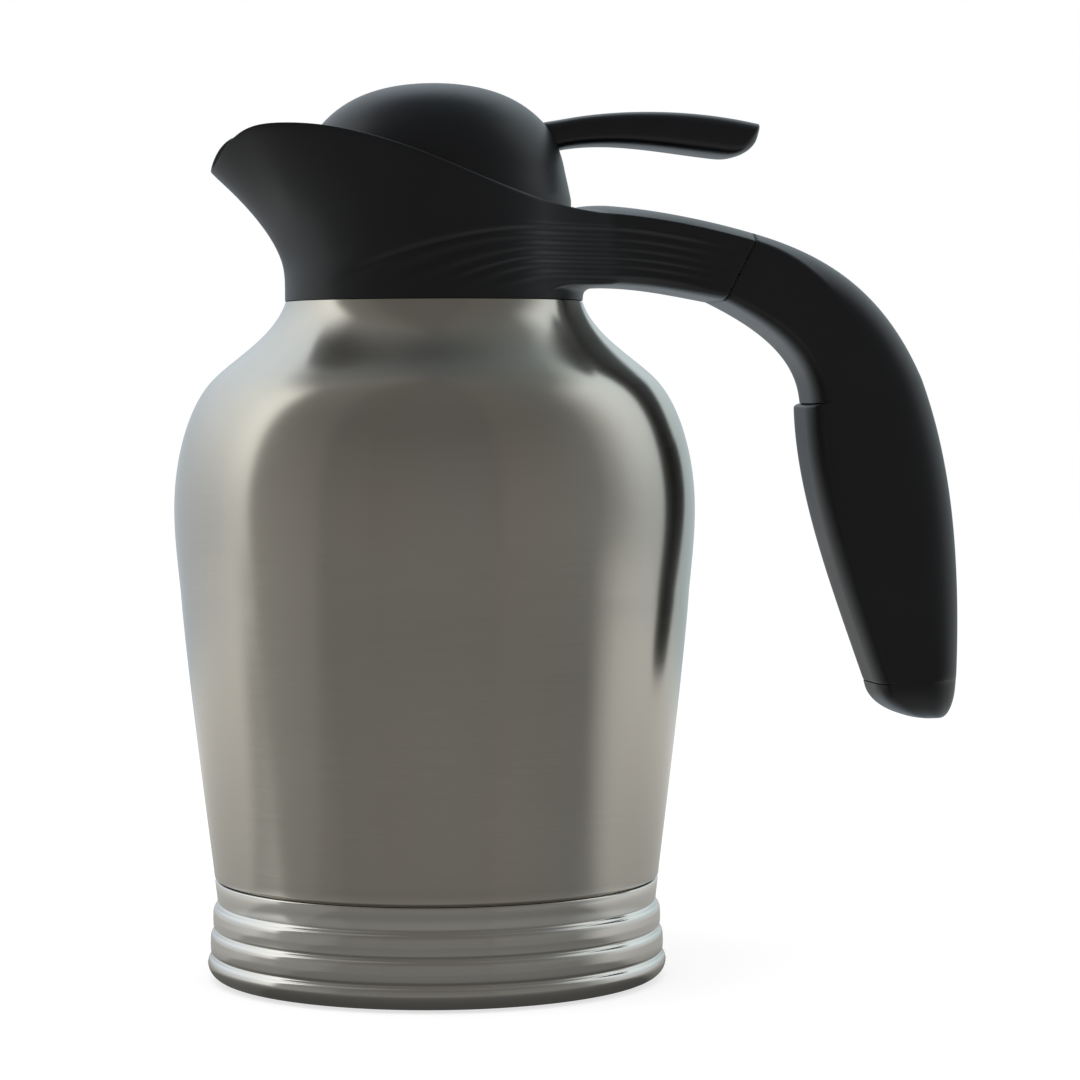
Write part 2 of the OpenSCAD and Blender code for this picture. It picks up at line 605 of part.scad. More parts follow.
// Cover on the finger side, flush with the grip's sides, with the rounded front edges
function insert_ring(s) =
    let (up = unit(s[0] - s[1]))
    let (half = [for (a = [0 : 15 : 90])
        [s[2] * 0.92 - round_w(s) * (1 - cos(a)), front_round * (1 - sin(a))]])
    concat([for (p = half) [s[1][0] + up[0] * p[1], -p[0], s[1][1] + up[1] * p[1]]],
           [for (p = flip(half)) [s[1][0] + up[0] * p[1], p[0], s[1][1] + up[1] * p[1]]]);

module grip_insert() {
    color(SOFT) loft([for (i = [0 : 12]) insert_ring(grip_station(cover_t(i / 12), 0))]);
}

// Stopper
stopper_r = bore_r - 0.5;
skirt_plug_r = mouth_r - 0.9;
ear_y = [7, 9.5];
lug_y = [3.6, 6.7];

module knuckle(y, x_front, z_low, x_back) {
    translate([0, y[0], 0]) rotate([-90, 0, 0]) linear_extrude(y[1] - y[0]) union() {
        translate([hinge_x, -hinge_z]) circle(r = knuckle_r, $fn = 48);
        polygon([[x_front, -z_low], [x_back, -z_low], [x_back, -hinge_z + 1.5], [hinge_x + 1.6, -hinge_z],
                 [hinge_x - knuckle_r + 0.02, -hinge_z], [x_front, -hinge_z + 3.2]]);
    }
}

module stopper_ring() {
    color(BLACK) difference() {
        union() {
            rotate_extrude() polygon([[pour_r, ledge_z - 11], [skirt_plug_r - 1, ledge_z - 11],
                [skirt_plug_r, ledge_z - 10], [skirt_plug_r, ledge_top + seat],
                [stopper_r, ledge_top + seat], [stopper_r, flange_top], [pour_r, flange_top]]);
            for (s = [0, 1]) mirror([0, s, 0])
                knuckle(ear_y, hinge_x - knuckle_r, flange_top - 1, hinge_x + 0.9);
            translate([hinge_x - 1.1, -coil_pitch * TURNS / 2 - 1, flange_top - 1]) cube([1.3, 2, 3.4]);
        }
        ring(skirt_plug_r - 1.1, skirt_plug_r + 1, ledge_z - 8, ledge_z - 5.4);
        ring(pour_r - 1, skirt_plug_r - 2.6, ledge_z - 12, ledge_z - 1.5);
        translate([hinge_x, -12, hinge_z]) rotate([-90, 0, 0])
            cylinder(r = pin_d / 2 + 0.01, h = 24, $fn = 48);
    }
}

module stopper_gasket() {
    r = skirt_plug_r;
    color(SEAL) rotate_extrude() polygon([[r - 1, ledge_z - 7.9], [r + 0.4, ledge_z - 7.9],
        [r + 0.8, ledge_z - 6.7], [r + 0.4, ledge_z - 5.5], [r - 1, ledge_z - 5.5]]);
}

module hinge_pin() {
    color(BRIGHT) translate([hinge_x, -ear_y[1] - 0.3, hinge_z]) rotate([-90, 0, 0])
        cylinder(r = pin_d / 2, h = 2 * ear_y[1] + 0.6, $fn = 48);
}

// Closing spring: one leg stands behind a stop on the stopper, the turns lie round the pin, and the
// other leg presses on the lid
coil_r = pin_d / 2 + wire_d / 2 + 0.6;
coil_pitch = wire_d + 0.55;
TURNS = 3.25;
function coil_path() = concat(
    [[hinge_x + 0.8, -coil_pitch * TURNS / 2, flange_top + 0.3]],
    [for (i = [0 : 39])
        let (a = 360 * TURNS * i / 39)
        [hinge_x + coil_r * cos(a), coil_pitch * TURNS * (i / 39 - 0.5), hinge_z + coil_r * sin(a)]],
    [[hinge_x - 14, coil_pitch * TURNS / 2, hinge_z + coil_r]]);
function wire_ring(p, i) =
    let (d = unit(p[min(i + 1, len(p) - 1)] - p[max(i - 1, 0)]))
    let (u = unit(cross(d, [0, 1, 0.001])))
    let (v = cross(d, u))
    [for (k = [0 : 5]) p[i] + wire_d / 2 * (u * cos(60 * k) + v * sin(60 * k))];

module return_spring() {
    path = coil_path();
    color(BRIGHT) loft([for (i = [0 : len(path) - 1]) wire_ring(path, i)]);
}

// Lid
// Outline of the dome's outer side from its lower edge to its top
function dome_outline() = concat(
    [[dome_r, dome_z], [dome_r, dome_top - 30.2]],
    bez([[dome_r, dome_top - 30.2], [dome_r - 0.6, dome_top - 27], [dome_r - 1.1, dome_top - 25],
         [dome_r - 1.6, dome_top - 22.6]], 3, 1),
    bez([[dome_r - 1.6, dome_top - 22.6], [dome_r - 2.3, dome_top - 18.5], [dome_r - 4, dome_top - 13.4],
         [dome_r - 7.4, dome_top - 9.8]], 7, 1),
    bez([[dome_r - 7.4, dome_top - 9.8], [dome_r - 13.6, dome_top - 3.3], [13, dome_top],
         [0, dome_top]], 12, 1));

function polar(r, a) = [r * cos(a), r * sin(a), 0];
module lid_screw_places() {
    for (a = [75, 180, 285]) translate(polar(dome_r - 8.6, a)) children();
}

lever_z = dome_top - 14.8;
lever_root_x = dome_r - 12;
module lever_screw_places() {
    for (y = [-4, 4]) translate([lever_root_x + 3, y, lever_z]) children();
}

module lid_dome() {
    outline = dome_outline();
    color(BLACK) difference() {
        union() {
            turned_wall(outline, dome_t);
            intersection() {
                rotate_extrude() polygon(concat([[0, dome_z]], outline));
                union() {
                    lid_screw_places() translate([0, 0, plug_z + 2]) cylinder(r = 2.8, h = 40, $fn = 32);
                    translate([lever_root_x, -7, lever_z + 3.9]) cube([12, 14, 10]);
                }
            }
        }
        lid_screw_places() translate([0, 0, plug_z]) cylinder(r = 1, h = 12, $fn = 24);
        lever_screw_places() cylinder(r = 1, h = 6.5, $fn = 24);
        translate([lever_root_x, -7 - seat, lever_z - 1.5]) cube([20, 14 + 2 * seat, 5.4 + seat]);
    }
}

// Inner half of the lid: a floor, the plug below it and the hinge lugs above it
module lid_plug() {
    notch_x = hinge_x - knuckle_r - gap;
    color(SOFT) difference() {
        union() {
            difference() {
                rotate_extrude() polygon([[0, flange_top - 3.6], [pour_r - 3.4, flange_top - 3.6],
                    [pour_r - 2, flange_top - 2.2], [pour_r - 1.4, plug_z], [dome_r - dome_t - 0.2, plug_z],
                    [dome_r - dome_t - 0.2, plug_z + 2], [0, plug_z + 2]]);
                translate([notch_x, -10.2, plug_z - 6]) cube([40, 20.4, 12]);
                rotate_extrude() polygon([[0, flange_top - 4], [pour_r - 5.4, flange_top - 4],
                    [pour_r - 4.4, plug_z], [0, plug_z]]);
            }
            for (s = [0, 1]) mirror([0, s, 0])
                knuckle(lug_y, notch_x - 7, plug_z + 0.5, hinge_x - knuckle_r);
            translate([hinge_x - 15.5, -3, plug_z + 1])
                cube([3.5, 6, hinge_z + coil_r - plug_z - 1 - wire_d / 2 - 0.1]);
        }
        lid_screw_places() translate([0, 0, plug_z - 2]) cylinder(r = 1.15, h = 8, $fn = 24);
        translate([hinge_x, -12, hinge_z]) rotate([-90, 0, 0])
            cylinder(r = pin_d / 2 + pin_play, h = 24, $fn = 48);
        ring(pour_r + 0.2, pour_r + 3, plug_z - 1, plug_z + 0.8);
    }
}

module plug_gasket() {
    color(SEAL) rotate_extrude() polygon([[pour_r + 0.25, plug_z + 0.75], [pour_r + 0.25, plug_z - 0.6],
        [pour_r + 1, flange_top + 0.25], [pour_r + 2, flange_top + 0.25], [pour_r + 2.95, plug_z - 0.6],
        [pour_r + 2.95, plug_z + 0.75]]);
}

module lid_screws() {
    color(BRIGHT) lid_screw_places() translate([0, 0, plug_z]) screw(0.95, 10, 1.9, 1.1);
}

// Insulation inside the dome
module lid_foam() {
    foam_z = hinge_z + 5;
    color(FOAM) difference() {
        intersection() {
            rotate_extrude() polygon(concat([[0, dome_z]], inset(dome_outline(), dome_t + gap)));
            translate([0, 0, foam_z]) cylinder(r = dome_r, h = 60);
        }
        lid_screw_places() translate([0, 0, foam_z - 1]) cylinder(r = 3.1, h = 40, $fn = 32);
        translate([lever_root_x - 1.5, -8.5, lever_z - 2.5]) cube([40, 17, 30]);
    }
}

// Thumb lever
tip_end = grip_x - lever_short;
LEVER_TOP = [[dome_r - 4.5, dome_top - 9.4], [dome_r + 9.4, dome_top - 6.2],
             [tip_end - 19.6, dome_top - 5.4], [tip_end - 0.2, dome_top - 9.6]];
LEVER_LOW = [[dome_r - 4.5, dome_top - 17.3], [dome_r + 10.4, dome_top - 13.8],
             [tip_end - 25, dome_top - 17.3], [tip_end - 8.7, dome_top - 18.8]];
function lever_ring(top, low, w) =
    let (mid = (top + low) / 2)
    let (h = (top - low) / 2)
    [for (a = [0 : 15 : 345])
        let (s = sin(a))
        let (c = cos(a))
        let (k = sign(s) * pow(abs(s), 0.62))
        [mid[0] + h[0] * k, -w / 2 * sign(c) * pow(abs(c), 0.62), mid[1] + h[1] * k]];
function lever_width(t) = lever_w * (0.74 + 0.26 * smooth(t * 1.1));

module thumb_lever() {
    color(BLACK) difference() {
        union() {
            difference() {
                loft(concat(
                    [for (t = [0 : 0.1 : 1])
                        lever_ring(bez_at(LEVER_TOP, t), bez_at(LEVER_LOW, t), lever_width(t))],
                    [for (a = [22.5 : 22.5 : 67.5])
                        let (top = LEVER_TOP[3] + [0.3 * sin(a), -0.6 * (1 - cos(a))])
                        let (low = LEVER_LOW[3] + [8.4 * sin(a), 6.8 * (1 - cos(a))])
                        lever_ring(top, low, lever_w * cos(a * 0.8))]));
                rotate_extrude() polygon(concat([[0, dome_z]], dome_outline()));
            }
            translate([lever_root_x + 0.2, -7, lever_z]) cube([16, 14, 3.8]);
        }
        lever_screw_places() translate([0, 0, -1]) cylinder(r = 1.1, h = 10, $fn = 24);
    }
}

module lever_screws() {
    color(BRIGHT) lever_screw_places() translate([0, 0, -seat]) screw(0.95, 6, 1.8, 1);
}

outer_shell();
inner_liner();
shell_bottom();
vacuum_seal();
base_ring();
base_plate();
foot_pad();
neck_ring();
collar_spout();
collar_gasket();
collar_screws();
handle_grip();
grip_insert();
handle_screws();
stopper_ring();
stopper_gasket();
hinge_pin();
return_spring();
lid_dome();
lid_plug();
lid_foam();
plug_gasket();
thumb_lever();
lever_screws();
lid_screws();
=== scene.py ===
"""Thermal carafe with flip lid: the visible pieces with their materials, and the studio they stand in.

Sizes are worked out in millimetres, as in the part's source, and meshes are made in metres.
"""
import math
from types import SimpleNamespace

import bpy
from mathutils import Matrix, Vector


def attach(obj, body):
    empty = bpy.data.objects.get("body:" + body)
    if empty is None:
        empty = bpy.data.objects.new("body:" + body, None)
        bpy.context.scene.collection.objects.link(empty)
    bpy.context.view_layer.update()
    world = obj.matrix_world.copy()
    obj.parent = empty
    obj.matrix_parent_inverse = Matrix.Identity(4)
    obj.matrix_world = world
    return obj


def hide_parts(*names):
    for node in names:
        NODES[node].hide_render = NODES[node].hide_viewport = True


bl_info = {
    "name": "Thermal Carafe",
    "version": (1, 0, 0),
    "blender": (4, 5, 0),
    "location": "3D View > Sidebar > Carafe",
    "description": "Builds the visible pieces of a thermal carafe over its packed frame",
    "category": "Add Mesh",
}

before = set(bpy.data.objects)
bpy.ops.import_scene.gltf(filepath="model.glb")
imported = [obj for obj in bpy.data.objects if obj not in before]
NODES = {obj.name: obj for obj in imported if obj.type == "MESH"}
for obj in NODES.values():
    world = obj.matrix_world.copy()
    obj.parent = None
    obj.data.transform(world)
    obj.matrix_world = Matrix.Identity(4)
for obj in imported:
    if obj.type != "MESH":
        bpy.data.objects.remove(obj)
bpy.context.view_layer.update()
MM = 0.001


# Sizes and colours

def length(name, description, mm):
    return bpy.props.FloatProperty(name=name, description=description, default=mm * MM,
                                   min=0.0, unit="LENGTH", subtype="DISTANCE", precision=5)


class CarafeSizes(bpy.types.PropertyGroup):
    """Sizes of the carafe's pieces"""

    flask_d: length("Flask diameter", "Largest outside diameter of the steel flask", 135)
    flask_h: length("Seam height", "Height of the seam between the shoulder and the collar", 175.5)
    neck_d: length("Neck diameter", "Outside diameter of the shoulder at that seam", 76.9)
    shoulder_h: length("Shoulder height", "From the widest level up to the seam", 53.5)
    seat_d: length("Seat diameter", "Outside diameter at the seam above the base ring", 115.4)
    shell_t: length("Shell wall", "Thickness of the outer shell", 0.8)
    liner_t: length("Vessel wall", "Thickness of the inner vessel", 0.6)
    vacuum_gap: length("Vacuum gap", "Distance between the two vessels", 7.2)
    mouth_d: length("Mouth diameter", "Inside diameter of the flask's mouth", 59)
    mouth_rise: length("Mouth rise", "How far the mouth stands above the collar's lower edge", 10.3)
    base_h: length("Base height", "Height of the ribbed base ring", 26)
    base_d: length("Base diameter", "Largest diameter of the base ring", 119.4)
    rib_pitch: length("Rib height", "Height of one rib of the base ring", 6.5)
    groove_t: length("Rib groove", "Depth of the grooves between the ribs", 0.9)
    base_round: length("Base edge", "Radius of the ring's lowest edge", 4)
    pad_d: length("Pad diameter", "Diameter of the foot pad", 92)
    pad_proud: length("Pad drop", "How far the pad stands below the ring", 0.5)
    collar_t: length("Collar wall", "Wall thickness of the collar", 2.2)
    spout_reach: length("Spout reach", "How far the spout's tip reaches beyond the collar", 19.6)
    nose_r: length("Nose radius", "Radius of the spout's nose seen from above", 22.2)
    tip_rise: length("Tip rise", "Height of the spout's tip above the collar's lower edge", 33.1)
    crest_rise: length("Crest rise", "Height of the spout's raised sides", 44.3)
    deck_rise: length("Deck rise", "Height of the rim at the handle side", 23.5)
    flute_t: length("Flute depth", "Depth of the flutes on the collar and the arm", 0.45)
    finger_gap: length("Finger gap", "From the flask's widest level to the grip", 30.5)
    grip_deep: length("Grip depth", "From the grip's finger side to its back", 43)
    grip_w: length("Grip width", "Width of the grip across the carafe", 27)
    handle_drop: length("Handle drop", "From the collar's lower edge to the handle's end", 111)
    insert_t: length("Cover thickness", "Thickness of the grip's cover", 4)
    dome_rise: length("Dome rise", "Height of the dome's top above the collar's lower edge", 56.1)
    dome_t: length("Dome wall", "Wall thickness of the dome", 2)
    lever_w: length("Lever width", "Width of the thumb lever at its tip", 21)
    lever_short: length("Lever stand-back", "How far the lever's tip stops short of the grip", 12.5)
    rib_count: bpy.props.IntProperty(name="Ribs", description="Number of ribs round the base ring",
                                     default=3, min=2, max=4)


def srgb(code):
    """Linear colour of an sRGB hex code such as "C8C4BA"."""
    values = [int(code[i:i + 2], 16) / 255 for i in (0, 2, 4)]
    return tuple(v / 12.92 if v <= 0.04045 else ((v + 0.055) / 1.055) ** 2.4 for v in values)


def tint(name, description, code):
    return bpy.props.FloatVectorProperty(name=name, description=description, default=srgb(code),
                                         size=3, min=0.0, max=1.0, subtype="COLOR")


class CarafeColours(bpy.types.PropertyGroup):
    """Colours of the carafe's finishes"""

    shell: tint("Shell", "Brushed stainless steel of the flask", "CDC8BE")
    base: tint("Base ring", "Turned and half-polished metal of the base ring", "E6E3DD")
    inner: tint("Inner vessel", "Electropolished steel inside", "D6D5D2")
    moulding: tint("Moulding", "Black moulding of collar, handle and lid", "06080D")
    cover: tint("Grip cover", "Black cover on the grip's finger side", "06080D")
    stopper: tint("Stopper", "Dark plastic of the stopper and the plug", "2B2C2F")
    pad: tint("Foot pad", "Soft pad under the base", "303030")
    seal: tint("Seals", "Silicone of the seals", "B9BDBF")
    foam: tint("Foam", "Insulating foam in the lid", "E6DFC9")


# Room tone at which the studio's tones hold as they are written
ROOM_LEVEL = 0.2


class CarafeStudio(bpy.types.PropertyGroup):
    """Camera and light of the studio"""

    lens: bpy.props.FloatProperty(name="Lens", description="Focal length of the camera", default=117.6,
                                  min=20.0, unit="CAMERA")
    near_tone: bpy.props.FloatProperty(
        name="Room tone", description="Brightness of the room on the camera's side, as metal shows it",
        default=ROOM_LEVEL, min=0.0, max=1.0, subtype="FACTOR")
    wall_tone: bpy.props.FloatProperty(
        name="Wall tone", description="Brightness of the light walls, as metal shows them",
        default=1.0, min=0.0, max=2.0, subtype="FACTOR")
    lamp_power: bpy.props.FloatProperty(name="Lamp", description="Power of the soft overhead lamp",
                                        default=9.0, min=0.0, unit="POWER")


def sizes():
    """The sizes in millimetres with what follows from them, as in the part's source."""
    group = bpy.context.scene.carafe_sizes
    s = SimpleNamespace(**{k: getattr(group, k) / MM for k in CarafeSizes.__annotations__
                           if k != "rib_count"}, rib_count=group.rib_count)
    s.seat = 0.05
    s.mouth_r = s.mouth_d / 2
    s.neck_in_r = s.mouth_r + s.liner_t + 1.5
    s.neck_out_r = s.neck_in_r + s.shell_t
    s.collar_r = s.neck_d / 2 + 0.15
    s.bore_r = s.collar_r - s.collar_t
    s.dome_r = s.bore_r - 0.8
    s.collar_z = s.flask_h + 0.2
    s.mouth_z = s.collar_z + s.mouth_rise
    s.ledge_z = s.mouth_z + 1
    s.ledge_top = s.ledge_z + 2.2
    s.flange_top = s.ledge_top + 2.2
    s.dome_z = s.flange_top + 3.1
    s.dome_top = s.collar_z + s.dome_rise
    s.grip_x = s.flask_d / 2 + s.finger_gap
    s.skirt_r = s.seat_d / 2 - 2.4
    s.widest_z = s.flask_h - s.shoulder_h
    s.mid_r = s.neck_d / 2 + (s.flask_d - s.neck_d) / 2 * 0.66
    s.liner_r = s.flask_d / 2 - s.vacuum_gap - s.shell_t
    s.foot_r = s.base_d / 2
    s.band_r = s.seat_d / 2 - 0.7
    s.rib_top = s.rib_count * s.rib_pitch
    s.rim_r = s.collar_r - 0.3
    s.nose_x = s.collar_r + s.spout_reach - s.nose_r
    s.nose_turn = math.asin((s.rim_r - s.nose_r) / s.nose_x)
    s.nose_end = math.atan2(s.nose_r * math.cos(s.nose_turn), s.nose_x + s.nose_r * math.sin(s.nose_turn))
    s.tip_x = -(s.collar_r + s.spout_reach)
    s.crest_x = s.tip_x + 15.2
    s.crest_y = math.sqrt(s.nose_r ** 2 - (s.nose_x + s.crest_x) ** 2)
    s.arm_x = s.collar_r + 5.4
    s.edge_b, s.spread_b = 23.4, 54.0
    s.arm_w = s.arm_x * math.tan(math.radians(s.edge_b))
    s.arm_crown, s.arm_top_rise, s.arm_low_rise = 3.1, 24.95, 3.7
    s.part_x = s.grip_x - 23.5
    s.back_x = s.grip_x + s.grip_deep
    s.end_z = s.collar_z - s.handle_drop
    s.tip_end = s.grip_x - s.lever_short
    s.lever_z = s.dome_top - 14.8
    s.lever_root_x = s.dome_r - 12
    return s


# Curves and meshes

def bez_at(p, t):
    u = 1 - t
    w = (u * u * u, 3 * u * u * t, 3 * u * t * t, t * t * t)
    return tuple(sum(w[i] * p[i][k] for i in range(4)) for k in range(len(p[0])))


def bez(p, n, first=0):
    return [bez_at(p, i / n) for i in range(first, n + 1)]


def smooth(v):
    c = min(max(v, 0.0), 1.0)
    return c * c * (3 - 2 * c)


def mix(a, b, t):
    return a + (b - a) * t


def inset(p, d):
    """Open outline moved sideways by d, to the left of its direction."""
    def left_of(a, b):
        v = Vector((b[0] - a[0], b[1] - a[1])).normalized()
        return Vector((-v.y, v.x))

    out = []
    for i in range(len(p)):
        n1 = left_of(p[max(i - 1, 0)], p[max(i, 1)])
        n2 = left_of(p[min(i, len(p) - 2)], p[min(i + 1, len(p) - 1)])
        n = (n1 + n2).normalized()
        q = Vector(p[i]) + n * (d / n.dot(n1))
        out.append((max(q.x, 0.0), q.y))
    return out


def new_mesh(name, points, faces, sharp=35.0):
    """Mesh object from points in millimetres, smooth but for edges sharper than an angle."""
    mesh = bpy.data.meshes.new(name)
    mesh.from_pydata([tuple(c * MM for c in p) for p in points], [], faces)
    mesh.validate()
    mesh.update()
    mesh.polygons.foreach_set("use_smooth", [True] * len(mesh.polygons))
    if sharp:
        mesh.set_sharp_from_angle(angle=math.radians(sharp))
    piece = bpy.data.objects.new(name, mesh)
    bpy.context.scene.collection.objects.link(piece)
    return piece


def turned(name, outline, steps=192, sharp=35.0):
    """Solid turned round the axis from a closed outline of (radius, height)."""
    points, faces, rows = [], [], []
    for r, z in outline:
        if r < 1e-6:
            rows.append([len(points)] * steps)
            points.append((0, 0, z))
        else:
            rows.append([len(points) + k for k in range(steps)])
            points += [(r * math.cos(2 * math.pi * k / steps), r * math.sin(2 * math.pi * k / steps), z)
                       for k in range(steps)]
    for i, low in enumerate(rows):
        high = rows[(i + 1) % len(rows)]
        for k in range(steps):
            face = []
            for v in (low[k], low[(k + 1) % steps], high[(k + 1) % steps], high[k]):
                if v not in face:
                    face.append(v)
            if len(face) > 2:
                faces.append(face)
    return new_mesh(name, points, faces, sharp)


def walled(name, outline, wall, steps=192, sharp=35.0):
    return turned(name, outline + inset(outline, wall)[::-1], steps, sharp)


# Crease weight from which an edge is hard
HARD = 0.85


def crease(piece, edges):
    """Sets crease weights for subdivision, from a dict of vertex pair to weight. Hard edges also split the
    shading."""
    mesh = piece.data
    weights = [0.0] * len(mesh.edges)
    for e in mesh.edges:
        weights[e.index] = edges.get(tuple(sorted(e.vertices)), 0.0)
    mesh.attributes.new("crease_edge", "FLOAT", "EDGE").data.foreach_set("value", weights)
    hard = [w >= HARD for w in weights]
    mesh.attributes.new("sharp_edge", "BOOLEAN", "EDGE").data.foreach_set("value", hard)


def subdivide(piece, levels=2):
    m = piece.modifiers.new("Subdivision", "SUBSURF")
    m.levels = m.render_levels = levels
    m.boundary_smooth = "PRESERVE_CORNERS"


def stand_for(piece, body, slot, material, *nodes):
    """Gives a piece its material and body, and lets it stand for CAD nodes."""
    piece.data.materials.append(material)
    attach(piece, body)
    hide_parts(*nodes)


def finish_node(node, material):
    """Material of a CAD node that stays as it is."""
    mesh = NODES[node].data
    mesh.materials.clear()
    mesh.materials.append(material)


# Materials

def add(tree, kind, settings=None, **links):
    """Adds a node, sets its properties and input values, and links inputs given by name or place."""
    node = tree.nodes.new(kind)
    for key, value in (settings or {}).items():
        if isinstance(key, int) or key in node.inputs:
            node.inputs[key].default_value = value
        else:
            setattr(node, key, value)
    for key, source in links.items():
        target = node.inputs[int(key[2:]) if key.startswith("in") and key[2:].isdigit()
                             else key.replace("_", " ")]
        tree.links.new(source, target)
    return node


def principled(name):
    """New material with only a Principled shader in it."""
    material = bpy.data.materials.new(name)
    material.use_nodes = True
    tree = material.node_tree
    shader = next(n for n in tree.nodes if n.type == "BSDF_PRINCIPLED")
    return material, tree, shader


def place_in(tree, sx, sy, sz):
    """Object coordinates in metres, scaled along each axis."""
    where = add(tree, "ShaderNodeTexCoord")
    return add(tree, "ShaderNodeMapping", {"Scale": (sx, sy, sz)}, Vector=where.outputs["Object"]).outputs[0]


def ramp(tree, value, low, high, to_low, to_high):
    return add(tree, "ShaderNodeMapRange", {"From Min": low, "From Max": high, "To Min": to_low,
                                            "To Max": to_high}, Value=value).outputs[0]


def two_tones(tree, factor, a, b):
    node = add(tree, "ShaderNodeMix", {"data_type": "RGBA"})
    node.inputs[6].default_value = (*a, 1)
    node.inputs[7].default_value = (*b, 1)
    tree.links.new(factor, node.inputs[0])
    return node.outputs[2]


def shade(colour, k):
    return tuple(min(c * k, 1.0) for c in colour)


def brushed_metal(name, colour, roughness, stretch, line_mm, long_mm, bump_mm, contrast, streak=0.05):
    """Metal with fine lines round the axis, which stretch reflections and show in colour and relief."""
    material, tree, shader = principled(name)
    shader.inputs["Metallic"].default_value = 1.0
    shader.inputs["Anisotropic"].default_value = stretch
    shader.inputs["Anisotropic Rotation"].default_value = 0.25
    tangent = add(tree, "ShaderNodeTangent", {"direction_type": "RADIAL", "axis": "Z"})
    tree.links.new(tangent.outputs[0], shader.inputs["Tangent"])
    long_scale, fine_scale = 1 / (long_mm * MM), 1 / (line_mm * MM)
    lines = add(tree, "ShaderNodeTexNoise", {"Scale": 1.0, "Detail": 3.0, "Roughness": 0.7},
                Vector=place_in(tree, long_scale, long_scale, fine_scale)).outputs["Fac"]
    broad = add(tree, "ShaderNodeTexNoise", {"Scale": 1.0, "Detail": 2.0},
                Vector=place_in(tree, 22, 22, 30)).outputs["Fac"]
    tree.links.new(two_tones(tree, ramp(tree, lines, 0.3, 0.7, 0, 1), shade(colour, 1 - contrast),
                             shade(colour, 1 + contrast * 0.6)), shader.inputs["Base Color"])
    gloss = add(tree, "ShaderNodeMath", {"operation": "ADD"}, in0=ramp(tree, lines, 0.3, 0.7,
                roughness - streak, roughness + streak), in1=ramp(tree, broad, 0.3, 0.7, -0.015, 0.015))
    tree.links.new(gloss.outputs[0], shader.inputs["Roughness"])
    relief = add(tree, "ShaderNodeBump", {"Strength": 0.35, "Distance": bump_mm * MM}, Height=lines)
    tree.links.new(relief.outputs[0], shader.inputs["Normal"])
    return material


def moulded_plastic(name, colour, roughness, grain_mm, bump_mm, ior=1.5, vary=0.12):
    """Moulded plastic or rubber with a fine grain from the tool, a little uneven in gloss and tone."""
    material, tree, shader = principled(name)
    shader.inputs["IOR"].default_value = ior
    fine = 1 / (grain_mm * MM)
    grain = add(tree, "ShaderNodeTexNoise", {"Scale": fine, "Detail": 2.0, "Roughness": 0.6},
                Vector=place_in(tree, 1, 1, 1)).outputs["Fac"]
    broad = add(tree, "ShaderNodeTexNoise", {"Scale": 38.0, "Detail": 3.0},
                Vector=place_in(tree, 1, 1, 1)).outputs["Fac"]
    tree.links.new(two_tones(tree, ramp(tree, broad, 0.3, 0.7, 0, 1), shade(colour, 1 - vary),
                             shade(colour, 1 + vary)), shader.inputs["Base Color"])
    gloss = add(tree, "ShaderNodeMath", {"operation": "ADD"}, in0=ramp(tree, grain, 0.25, 0.75,
                roughness - 0.03, roughness + 0.03), in1=ramp(tree, broad, 0.3, 0.7, -0.02, 0.02))
    tree.links.new(gloss.outputs[0], shader.inputs["Roughness"])
    relief = add(tree, "ShaderNodeBump", {"Strength": 0.3, "Distance": bump_mm * MM}, Height=grain)
    tree.links.new(relief.outputs[0], shader.inputs["Normal"])
    return material


FINISHES = {}


